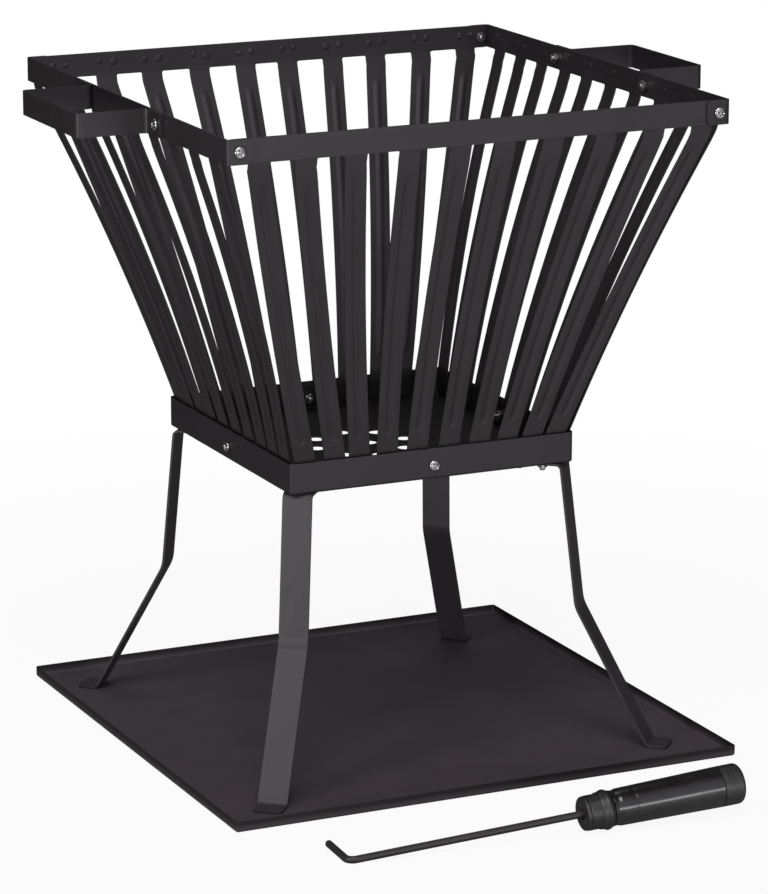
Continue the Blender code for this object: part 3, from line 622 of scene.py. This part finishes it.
def slat_grid(top_x, foot_x, top_radial):
    """One slat from outside: it leaves the band's inner face, eases over and bows to the pan."""
    heights = [BAND_BOTTOM - drop for drop in RIM_DROPS]
    heights += [BEAD_TOP - run for run in BEAD_TOP_RUNS]
    first = heights[-1]
    last = BEAD_LOW + BEAD_LOW_RUNS[0]
    heights += [first + (last - first) * (step + 1) / SLAT_SPANS for step in range(SLAT_SPANS)]
    heights += [BEAD_LOW + run for run in BEAD_LOW_RUNS[1:]]
    heights += [SLAT_FOOT_Z + 0.0020, SLAT_FOOT_Z - 0.0020, SLAT_END_Z]
    half = SLAT_WIDTH / 2
    length = SLAT_BEND_Z - SLAT_FOOT_Z
    grid = []
    for height in heights:
        drop = SLAT_BEND_Z - height
        share = min((drop + math.hypot(drop, SLAT_EASE)) / 2 / length, 1.0)
        radial = top_radial + (SLAT_FOOT_RADIAL - top_radial) * share
        radial -= 4 * SLAT_BOW * share * (1 - share)
        radial += JOGGLE * eased((height - BAND_BOTTOM + JOGGLE_DROP) / JOGGLE_RUN)
        bead_share = min((BEAD_TOP - height) / BEAD_TOP_RISE, (height - BEAD_LOW) / BEAD_LOW_RISE)
        depth = BEAD_DEPTH * eased(bead_share)
        dimple = DIMPLE_DEPTH * math.exp(-((height - BEAD_LOW - DIMPLE_RISE) / DIMPLE_LENGTH) ** 2)
        middle = top_x + (foot_x - top_x) * min(max(drop / length, 0.0), 1.0)
        rest = min(max(BAND_BOTTOM - height, 0.0), SLAT_FILLET)
        flare = SLAT_FILLET - math.sqrt(SLAT_FILLET ** 2 - (SLAT_FILLET - rest) ** 2)
        row = []
        for place in (-half - flare, *BEAD_PLACES, half + flare):
            swell = math.cos(math.pi / 2 * min(abs(place) / BEAD_HALF, 1.0)) ** 2
            dent = dimple * math.exp(-(place / DIMPLE_WIDTH) ** 2)
            row.append(Vector((middle + place, -(radial - depth * swell - dent), height)))
        grid.append(row)
    return grid


def add_weld(bm, centre, size, lift):
    """A spot weld's soft bump on the face that looks along Y."""
    layer = bm.loops.layers.uv.verify()
    rings = []
    for radius, rise in WELD_RINGS:
        ring = []
        for step in range(WELD_STEPS if radius else 1):
            angle = 2 * math.pi * step / WELD_STEPS
            reach = radius * size * (1 + 0.10 * math.sin(3 * angle + size * 9))
            offset = Vector((reach * math.cos(angle), rise * lift, reach * math.sin(angle)))
            ring.append(bm.verts.new(centre + offset))
        rings.append(ring)
    faces = [bm.faces.new(ring_corners(first, second, step))
             for first, second in zip(rings, rings[1:]) for step in range(WELD_STEPS)]
    faces.append(bm.faces.new(rings[-1]))
    for face in faces:
        for loop in face.loops:
            loop[layer].uv = (loop.vert.co.z, loop.vert.co.x)


def band_grid(half, with_tabs):
    """A rim band's grid. The left and right bands turn round the corners as short tabs."""
    line = half - BAND_THICKNESS / 2
    if with_tabs:
        tab_end = -(RIM_HALF - TAB_LENGTH)
        corners = [(-line, tab_end), (-line, -line), (line, -line), (line, tab_end)]
        path = rounded_path(corners, (BAND_BEND, BAND_BEND))
        grid = strip_grid(path, BAND_HEIGHT, BAND_END_RADIUS)
    else:
        path = [Vector((x, -line)) for x in (-PLAIN_END, 0.0, PLAIN_END)]
        grid = strip_grid(path, BAND_HEIGHT, 0.0)
    return [[point + Vector((0.0, 0.0, BAND_MID)) for point in row] for row in grid]


def build_panel(side, angle, top_stray, foot_stray, draw):
    """A rim band, its ten slats with two spot welds each, and the strip at their feet."""
    with_tabs = side in ("left", "right")
    half = RIM_HALF if with_tabs else PLAIN_HALF
    bm = bmesh.new()
    add_sheet(bm, band_grid(half, with_tabs), BAND_THICKNESS)

    inner_face = half - BAND_THICKNESS
    top_radial = inner_face + SLAT_SINK - SLAT_THICKNESS / 2
    even = [(-top, -foot) for top, foot in zip(SLAT_TOPS[::-1], SLAT_FEET[::-1])]
    even += list(zip(SLAT_TOPS, SLAT_FEET))
    for (top, foot), top_shift, foot_shift in zip(even, top_stray, foot_stray):
        add_sheet(bm, slat_grid(top + top_shift, foot + foot_shift, top_radial), SLAT_THICKNESS)
        for sign in (-1, 1):
            along = top + top_shift + sign * WELD_SPREAD + draw.uniform(-0.0010, 0.0010)
            height = WELD_Z + draw.uniform(-0.0012, 0.0014)
            size = draw.uniform(0.75, 1.15)
            lift = draw.uniform(0.0005, 0.0010)
            add_weld(bm, Vector((along, -inner_face, height)), size, lift)
    reach = SLAT_FEET[-1] + SLAT_WIDTH / 2
    strip_y = -(PAN_HALF - PAN_SHEET - GAP - FOOT_STRIP / 2)
    strip = [[Vector((x, strip_y, z)) for x in (-reach, 0.0, reach)]
             for z in (SLAT_FOOT_Z, SLAT_END_Z)]
    add_sheet(bm, strip, FOOT_STRIP)
    name = "%s_side" % side
    matrix = Matrix.Translation(BASKET) @ rotated(angle)
    piece = add_piece(name, finish_mesh(bm, name), PANEL_PAINT, matrix, 0.00035)
    stand_for(piece, "basket", "black_paint", "panel_%s" % side)


# Pan, tray, legs and handles

def build_pan():
    """A shallow pan with a ring of round vents cut in its floor and one in the middle."""
    mesh = tray_mesh("pan", PAN_HALF, PAN_HEIGHT, PAN_CORNER, PAN_FOLD)
    blank = add_piece("pan_blank", mesh, PAN_PAINT)
    thicken(blank, PAN_SHEET)
    bm = bmesh.new()
    centres = [(0.0, 0.0)]
    for step in range(VENTS_IN_RING):
        angle = 2 * math.pi / VENTS_IN_RING * step
        centres.append((VENT_SHIFT + VENT_RING * math.cos(angle), VENT_RING * math.sin(angle)))
    for x, y in centres:
        bmesh.ops.create_cone(bm, cap_ends=True, segments=40, depth=5 * PAN_SHEET,
                              radius1=VENT_RADIUS, radius2=VENT_RADIUS,
                              matrix=Matrix.Translation((x, y, 0.0)))
    mesh = cut(blank, finish_mesh(bm, "vents"))
    matrix = Matrix.Translation(BASKET + Vector((0.0, 0.0, PAN_BOTTOM)))
    piece = add_piece("pan", mesh, PAN_PAINT, matrix, 0.0003)
    stand_for(piece, "basket", "black_paint", "base_pan")


def build_tray():
    """The square tray that catches the ash, flat on the ground."""
    mesh = tray_mesh("tray", TRAY_HALF, TRAY_HEIGHT, TRAY_CORNER, TRAY_FOLD)
    tray = add_piece("tray", mesh, TRAY_PAINT, edge=0.0003)
    thicken(tray, TRAY_SHEET)
    stand_for(tray, "tray", "tray_paint", "ash_tray")


def build_legs():
    """Each leg is a strip with a flange under the pan, a knee and a foot."""
    for corner, bearing, turn, knee, foot in LEGS:
        points = [
            (LEG_TOP_RADIAL - LEG_FLANGE - LEG_PIVOT, LEG_FLANGE_Z),
            (LEG_TOP_RADIAL - LEG_PIVOT, LEG_FLANGE_Z),
            (knee - LEG_PIVOT, LEG_FLANGE_Z - LEG_KNEE_DROP),
            (foot - LEG_PIVOT, LEG_FOOT_Z),
            (foot + LEG_FOOT - LEG_PIVOT, LEG_FOOT_Z),
        ]
        name = "leg_%s_strip" % corner
        path = rounded_path(points, LEG_BENDS)
        mesh = strip_mesh(name, path, LEG_WIDTH, LEG_THICKNESS, LEG_END_RADIUS)
        pivot = rotated(bearing) @ Matrix.Translation((LEG_PIVOT, 0.0, 0.0))
        upright = rotated(turn) @ rotated(90.0, "X")
        matrix = Matrix.Translation(BASKET) @ pivot @ upright
        piece = add_piece(name, mesh, LEG_PAINT, matrix, 0.0004)
        stand_for(piece, "basket", "leg_paint", "leg_%s" % corner)


def build_handles():
    """Each handle is a strip bent to a U, with a flange at each end against the band."""
    flange_y = -(RIM_HALF + GAP + HANDLE_THICKNESS / 2)
    bar_y = -(RIM_HALF + HANDLE_REACH - HANDLE_THICKNESS / 2)
    arm = (HANDLE_WIDTH - HANDLE_THICKNESS) / 2
    end = HANDLE_WIDTH / 2 + HANDLE_FLANGE
    points = [(-end, flange_y), (-arm, flange_y), (-arm, bar_y),
              (arm, bar_y), (arm, flange_y), (end, flange_y)]
    path = rounded_path(points, (HANDLE_BEND,) * 4)
    for side, angle in (("left", -90.0), ("right", 90.0)):
        name = "%s_handle" % side
        mesh = strip_mesh(name, path, HANDLE_HEIGHT, HANDLE_THICKNESS, HANDLE_END_RADIUS)
        matrix = Matrix.Translation(BASKET + Vector((0.0, 0.0, BAND_TOP - HANDLE_HEIGHT / 2)))
        piece = add_piece(name, mesh, STRIP_PAINT, matrix @ rotated(angle), 0.0004)
        stand_for(piece, "basket", "black_paint", "handle_%s" % side)


# Screws and nuts

def screw_mesh():
    """A domed screw along local X, its head outwards from x 0, with a cross recess and a thread."""
    profile = [(GAP + HEAD_HEIGHT, 0.0)]
    for step in range(1, 7):
        angle = math.pi / 2 * step / 6
        length = GAP + HEAD_RIM + (HEAD_HEIGHT - HEAD_RIM) * math.cos(angle)
        profile.append((length, HEAD_RADIUS * math.sin(angle)))
    profile += [(GAP + 0.0002, HEAD_RADIUS), (GAP, HEAD_RADIUS - 0.0002), (GAP, SCREW_RADIUS)]
    length = 0.0
    while length < SCREW_LENGTH - 0.0012:
        profile.append((-length, SCREW_RADIUS))
        profile.append((-length - THREAD_PITCH * 0.5, SCREW_RADIUS - THREAD_DEPTH))
        length += THREAD_PITCH
    profile += [(-SCREW_LENGTH + 0.0005, SCREW_RADIUS - 0.0001),
                (-SCREW_LENGTH, SCREW_RADIUS - 0.0006), (-SCREW_LENGTH, 0.0)]
    blank = add_piece("screw_blank", turned_mesh("screw_blank", profile, 32), ZINC)
    for turn in (0.0, math.pi / 2):
        bm = bmesh.new()
        bmesh.ops.create_cube(bm, size=1.0)
        for vert in bm.verts:
            above = vert.co.x > 0
            long, wide = RECESS_TOP if above else RECESS_FLOOR
            height = GAP + HEAD_HEIGHT + (RECESS_OVER if above else -RECESS_DEPTH)
            vert.co = Vector((height, vert.co.y * long, vert.co.z * wide))
        bmesh.ops.rotate(bm, verts=bm.verts, cent=(0.0, 0.0, 0.0),
                         matrix=Matrix.Rotation(turn, 3, "X"))
        blank = add_piece("screw_blank", cut(blank, finish_mesh(bm, "recess")), ZINC)
    return baked(blank)


def nut_mesh():
    """A chamfered hexagon nut along local X, from x 0 to its height."""
    bm = bmesh.new()
    bmesh.ops.create_cone(bm, cap_ends=True, segments=6, depth=NUT_HEIGHT,
                          radius1=NUT_CORNER, radius2=NUT_CORNER)
    bmesh.ops.rotate(bm, verts=bm.verts, cent=(0.0, 0.0, 0.0),
                     matrix=Matrix.Rotation(math.pi / 2, 3, "Y"))
    bmesh.ops.translate(bm, verts=bm.verts, vec=(NUT_HEIGHT / 2, 0.0, 0.0))
    blank = add_piece("nut_blank", finish_mesh(bm, "nut_blank"), ZINC)
    bore = SCREW_RADIUS + 0.0001
    face = NUT_FLATS / 2 - 0.0001
    barrel = turned_mesh("barrel", [
        (0.0, bore),
        (0.0, face),
        (NUT_CHAMFER, NUT_CORNER + 0.0001),
        (NUT_HEIGHT - NUT_CHAMFER, NUT_CORNER + 0.0001),
        (NUT_HEIGHT, face),
        (NUT_HEIGHT, bore + 0.0003),
        (NUT_HEIGHT - 0.0003, bore),
        (0.0, bore),
    ], 36)
    return cut(blank, barrel, "INTERSECT")


def build_fasteners():
    """Each screw and nut of the solid model gets a finer mesh in its own place and turn."""
    screw = screw_mesh()
    nut = nut_mesh()
    spin = 0.4
    for name in sorted(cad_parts):
        if not name.endswith(("_screw", "_nut")):
            continue
        words = name.split("_")
        out = OUTWARD["up" if words[0] == "leg" else words[1]]
        low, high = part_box(name)
        middle = (low + high) / 2
        spin += 1.1
        if words[-1] == "screw":
            tip = min(out.dot(low), out.dot(high))
            start = middle + out * (tip + SCREW_LENGTH - out.dot(middle))
            mesh, facing, turn = screw, out, spin
        else:
            start = middle + out * (NUT_HEIGHT / 2)
            mesh, facing, turn = nut, -out, spin * 0.35
        matrix = Matrix.Translation(start) @ facing.to_track_quat("X", "Z").to_matrix().to_4x4()
        matrix = matrix @ Matrix.Rotation(turn, 4, "X")
        stand_for(add_piece("%s_bright" % name, mesh, ZINC, matrix), "basket", "zinc", name)


# Poker

def poker_matrix():
    """The poker's place and turn: its hook and its ring rest on the ground."""
    pitch = math.asin((RING_RADIUS - ROD_RADIUS) / ((RING_START + RING_END) / 2))
    turn = Matrix.Rotation(POKER_YAW, 4, "Z") @ Matrix.Rotation(-pitch, 4, "Y")
    return Matrix.Translation(POKER_BEND) @ turn


def build_rod(matrix):
    """The poker's steel rod, from the rounded tip of its hook to its end inside the handle."""
    corners = [(0.0, HOOK_LENGTH), (0.0, 0.0), (COLLAR_START + ROD_INSIDE, 0.0)]
    path = rounded_path(corners, (ROD_BEND,), 12)
    start = path[0]
    points = [(start.x, start.y - run, radius) for run, radius in ROD_TIP]
    points += [(point.x, point.y, 1.0) for point in path[1:]]
    curve = bpy.data.curves.new("poker_steel", "CURVE")
    curve.dimensions = "3D"
    curve.bevel_depth = ROD_RADIUS
    curve.bevel_resolution = 8
    curve.use_fill_caps = True
    spline = curve.splines.new("POLY")
    spline.points.add(len(points) - 1)
    for point, (x, y, radius) in zip(spline.points, points):
        point.co = (x, y, 0.0, 1.0)
        point.radius = radius
    mesh = baked(placed("rod_draft", curve))
    mesh.shade_smooth()
    piece = add_piece("poker_steel", mesh, ROD_PAINT, matrix)
    stand_for(piece, "poker", "black_paint", "poker_rod")


def arc(centre_x, centre_r, radius, start, end, steps):
    """Part of a profile: a circle's points from one angle to another, in degrees."""
    made = []
    for step in range(steps + 1):
        angle = math.radians(start + (end - start) * step / steps)
        made.append((centre_x + radius * math.cos(angle), centre_r + radius * math.sin(angle)))
    return made


def build_collar(matrix):
    """The collar round the rod: a nose, a groove, fine ribs and the ring that it rests on."""
    bore = ROD_RADIUS + GAP
    nose = COLLAR_START
    well = nose + 0.0014
    groove = nose + 0.0030
    profile = [(well, bore), (well, 0.0042), (nose + 0.0003, 0.0047), (nose, 0.0052),
               (nose, COLLAR_RADIUS - 0.0022)]
    profile += arc(nose + 0.0015, COLLAR_RADIUS - 0.0018, 0.0015, 165, 90, 5)
    profile += [(groove - 0.0002, COLLAR_RADIUS - 0.0001),
                (groove + 0.0001, COLLAR_RADIUS - 0.0008),
                (groove + 0.0005, COLLAR_RADIUS - 0.0008), (groove + 0.0008, COLLAR_RADIUS)]
    rib = groove + 0.0010
    while rib < RING_START - 0.0010:
        profile += [(rib + 0.0003, COLLAR_RADIUS), (rib + 0.0005, COLLAR_RADIUS - 0.00018),
                    (rib + 0.0007, COLLAR_RADIUS)]
        rib += 0.0008
    profile += [(RING_START - 0.0001, COLLAR_RADIUS - 0.0003), (RING_START + 0.0003, 0.0149),
                (RING_START + 0.0028, 0.0151)]
    profile += arc(RING_START + 0.0062, RING_RADIUS - 0.0036, 0.0036, 140, 42, 12)
    spigot = RING_END + 0.012
    profile += [(RING_END, GRIP_NECK_RADIUS), (RING_END, 0.0095), (spigot, 0.0095),
                (spigot, bore), (well, bore)]
    mesh = turned_mesh("poker_ribbed_collar", profile, TURNED_STEPS)
    piece = add_piece("poker_ribbed_collar", mesh, COLLAR_PLASTIC, matrix)
    stand_for(piece, "poker", "black_plastic", "poker_collar")


def build_grip(matrix):
    """The tapered grip: a soft dip behind its nose, then a fine line round it."""
    neck = GRIP_START + GRIP_NECK
    line = GRIP_LINE

    def radius_at(length):
        share = (length - neck) / (GRIP_END - neck)
        return GRIP_NOSE_RADIUS + (GRIP_TAIL_RADIUS - GRIP_NOSE_RADIUS) * share

    profile = [(GRIP_START, 0.0098), (GRIP_START, GRIP_NECK_RADIUS)]
    for step in range(1, 9):
        share = step / 8
        swell = (GRIP_NOSE_RADIUS - GRIP_NECK_RADIUS) * share * share
        dip = GRIP_NECK_RADIUS + swell - GRIP_DIP * math.sin(math.pi * share)
        profile.append((GRIP_START + (neck - GRIP_START) * share, dip))
    profile += [(line - 0.0005, radius_at(line)), (line - 0.0001, radius_at(line) - 0.00030),
                (line + 0.0004, radius_at(line) - 0.00030),
                (line + 0.0009, radius_at(line + 0.0009))]
    profile += [(GRIP_END - 0.0005, radius_at(GRIP_END - 0.0005)),
                (GRIP_END, GRIP_TAIL_RADIUS - 0.0004), (GRIP_END, 0.0130),
                (GRIP_END - 0.0103, 0.0130), (GRIP_START + 0.0123, 0.0098), (GRIP_START, 0.0098)]
    mesh = turned_mesh("poker_long_grip", profile, TURNED_STEPS)
    piece = add_piece("poker_long_grip", mesh, GRIP_PLASTIC, matrix)
    stand_for(piece, "poker", "black_plastic", "poker_grip")


def build_end_cap(matrix):
    """The cap that closes the grip, with fine grooves round it and a rounded end."""
    profile = [(CAP_START, 0.0), (CAP_START, GRIP_TAIL_RADIUS - 0.0004),
               (CAP_START + 0.0005, GRIP_TAIL_RADIUS)]
    rib = CAP_END - 0.0100
    profile.append((rib - 0.0004, GRIP_TAIL_RADIUS))
    while rib < CAP_END - 0.0045:
        profile += [(rib, GRIP_TAIL_RADIUS), (rib + 0.0003, GRIP_TAIL_RADIUS - 0.00016),
                    (rib + 0.0006, GRIP_TAIL_RADIUS)]
        rib += 0.0013
    profile += arc(CAP_END - 0.0036, GRIP_TAIL_RADIUS - 0.0036, 0.0036, 90, 10, 9)
    profile += [(CAP_END - 0.0002, GRIP_TAIL_RADIUS - 0.0050), (CAP_END - 0.0006, 0.0110),
                (CAP_END - 0.0007, 0.0)]
    mesh = turned_mesh("poker_butt", profile, TURNED_STEPS)
    piece = add_piece("poker_butt", mesh, COLLAR_PLASTIC, matrix)
    stand_for(piece, "poker", "black_plastic", "poker_end_cap")


# Stage

CAMERA_PLACE = (-1.4410, -3.0993, 1.1215)
CAMERA_RIGHT = Vector((0.90594, -0.42341, 0.00052))
CAMERA_UP = Vector((0.10547, 0.22686, 0.96820))
OBJECT_MIDDLE = Vector((0.0, 0.0, 0.3))
# Name, place, width, height and power of each lamp. They all face the object's middle.
LAMPS = (
    ("left_box", (-2.2, -1.0, 0.27), 0.6, 0.5, 14.0),
    ("low_box", (0.2, -2.9, 0.30), 1.8, 0.5, 11.5),
    ("front_box", (-0.7, -1.3, 2.6), 1.5, 1.2, 24.0),
    ("high_left_box", (-1.9, -0.7, 1.75), 0.7, 0.7, 9.0),
    ("top_box", (0.2, 1.0, 2.5), 1.4, 1.0, 7.0),
)
SKY_BRIGHT_WAY = (-0.10, -0.95, 0.30)
SKY_DARK_UNTIL = 0.69
SKY_DARK = (0.006, 0.005, 0.005, 1.0)
SKY_BRIGHT = (0.72, 0.70, 0.74, 1.0)
GLOSS_SHARE = 0.04
FLOOR_RADIUS = 1.3
FLOOR_GREY = (0.20, 0.19, 0.19)
# How white the camera sees the floor, from the near distance to the far one
FLOOR_WHITE = (0.92, 1.0)
FLOOR_FADE = (0.45, 1.1)
# A painted pool of light on the floor in front: a paler grey, and a glow for all rays but the
# camera's
LIGHT_POOL_GREY = (0.60, 0.58, 0.60)
LIGHT_POOL_GLOW = 0.55
# The painted pool of light fades in over these ranges of Y and X
LIGHT_POOL_EDGE_Y = (-0.48, -0.34)
LIGHT_POOL_EDGE_X = (-0.42, -0.28)


def build_camera():
    data = bpy.data.cameras.new("camera")
    data.lens = 167.7
    data.sensor_width = 36.0
    data.clip_end = 100.0
    camera = placed("camera", data)
    camera.location = CAMERA_PLACE
    back = CAMERA_RIGHT.cross(CAMERA_UP)
    camera.rotation_euler = Matrix((CAMERA_RIGHT, CAMERA_UP, back)).transposed().to_euler()
    bpy.context.scene.camera = camera


def build_lights():
    for name, place, width, height, power in LAMPS:
        data = bpy.data.lights.new(name, "AREA")
        data.shape = "RECTANGLE"
        data.size = width
        data.size_y = height
        data.energy = power
        light = placed(name, data)
        light.location = place
        facing = OBJECT_MIDDLE - Vector(place)
        light.rotation_euler = facing.to_track_quat("-Z", "Y").to_euler()


def white_share(tree, camera_share, gloss_share):
    """How much of plain white a ray sees: most for the camera, a little for gloss and glass."""
    path = tree.nodes.new("ShaderNodeLightPath")
    camera = reckoned(tree, "MULTIPLY", path.outputs["Is Camera Ray"], camera_share)
    both = reckoned(tree, "ADD", path.outputs["Is Glossy Ray"],
                    path.outputs["Is Transmission Ray"])
    return reckoned(tree, "MULTIPLY_ADD", both, gloss_share, camera)


def build_world():
    """White to the camera. To the object it is a soft studio, bright in front and dim behind."""
    world = bpy.data.worlds.new("studio")
    bpy.context.scene.world = world
    world.use_nodes = True
    tree = world.node_tree
    background = tree.nodes["Background"]
    direction = tree.nodes.new("ShaderNodeTexCoord").outputs["Generated"]
    facing = node(tree, "ShaderNodeVectorMath", i0=direction, i1=SKY_BRIGHT_WAY)
    facing.operation = "DOT_PRODUCT"
    ramp = tree.nodes.new("ShaderNodeValToRGB")
    share = ranged(tree, facing.outputs["Value"], 0.0, 1.0, (-1.0, 1.0))
    tree.links.new(share, ramp.inputs["Fac"])
    stops = ramp.color_ramp.elements
    stops[0].position = SKY_DARK_UNTIL
    stops[0].color = SKY_DARK
    stops[1].position = 1.0
    stops[1].color = SKY_BRIGHT
    white = white_share(tree, 1.0, GLOSS_SHARE)
    colour = mixed(tree, white, ramp.outputs["Color"], (1.0, 1.0, 1.0))
    tree.links.new(colour, background.inputs["Color"])
    background.inputs["Strength"].default_value = 1.0


def build_floor():
    """A grey floor with a painted pool of light in front that glows for the object. The camera sees
    near white, and white far out.
    """
    bm = bmesh.new()
    bmesh.ops.create_circle(bm, cap_ends=True, segments=96, radius=FLOOR_RADIUS)
    floor = placed("floor", finish_mesh(bm, "floor"))
    material, tree, shader = new_material("floor")
    tree.nodes.remove(shader)
    place = tree.nodes.new("ShaderNodeTexCoord").outputs["Object"]
    split = node(tree, "ShaderNodeSeparateXYZ", Vector=place)
    # Painted pool of light: paler grey in front, and a glow for all rays but the camera's
    light_pool = reckoned(tree, "MULTIPLY", ranged(tree, split.outputs["Y"], 1.0, 0.0, LIGHT_POOL_EDGE_Y),
                     ranged(tree, split.outputs["X"], 0.0, 1.0, LIGHT_POOL_EDGE_X))
    grey = mixed(tree, light_pool, FLOOR_GREY, LIGHT_POOL_GREY)
    pale = mixed(tree, noise(tree, place, 3.0), (0.93, 0.93, 0.93), (0.96, 0.96, 0.96))
    seen = tree.nodes.new("ShaderNodeLightPath").outputs["Is Camera Ray"]
    matt = node(tree, "ShaderNodeBsdfDiffuse", Color=mixed(tree, seen, grey, pale))
    glow = node(tree, "ShaderNodeEmission", Color=(1.0, 1.0, 1.0, 1.0), Strength=1.0)
    lit = reckoned(tree, "MULTIPLY", light_pool, reckoned(tree, "SUBTRACT", 1.0, seen))
    reach = node(tree, "ShaderNodeVectorMath", i0=place)
    reach.operation = "LENGTH"
    near, far = FLOOR_WHITE
    white = white_share(tree, ranged(tree, reach.outputs["Value"], near, far, FLOOR_FADE),
                        GLOSS_SHARE)
    share = reckoned(tree, "MULTIPLY_ADD", lit, LIGHT_POOL_GLOW, white)
    mix = node(tree, "ShaderNodeMixShader", i0=share, i1=matt.outputs[0], i2=glow.outputs[0])
    tree.links.new(mix.outputs[0], tree.nodes["Material Output"].inputs["Surface"])
    floor.data.materials.append(material)


build_camera()
build_world()
build_floor()
build_lights()
build_tray()
build_pan()
weld_draw = random.Random(11)
for side, angle, top_stray, foot_stray in SIDES:
    build_panel(side, angle, top_stray, foot_stray, weld_draw)
build_legs()
build_handles()
build_fasteners()
poker = poker_matrix()
build_rod(poker)
build_collar(poker)
build_grip(poker)
build_end_cap(poker)

bpy.context.scene.view_settings.view_transform = "Standard"
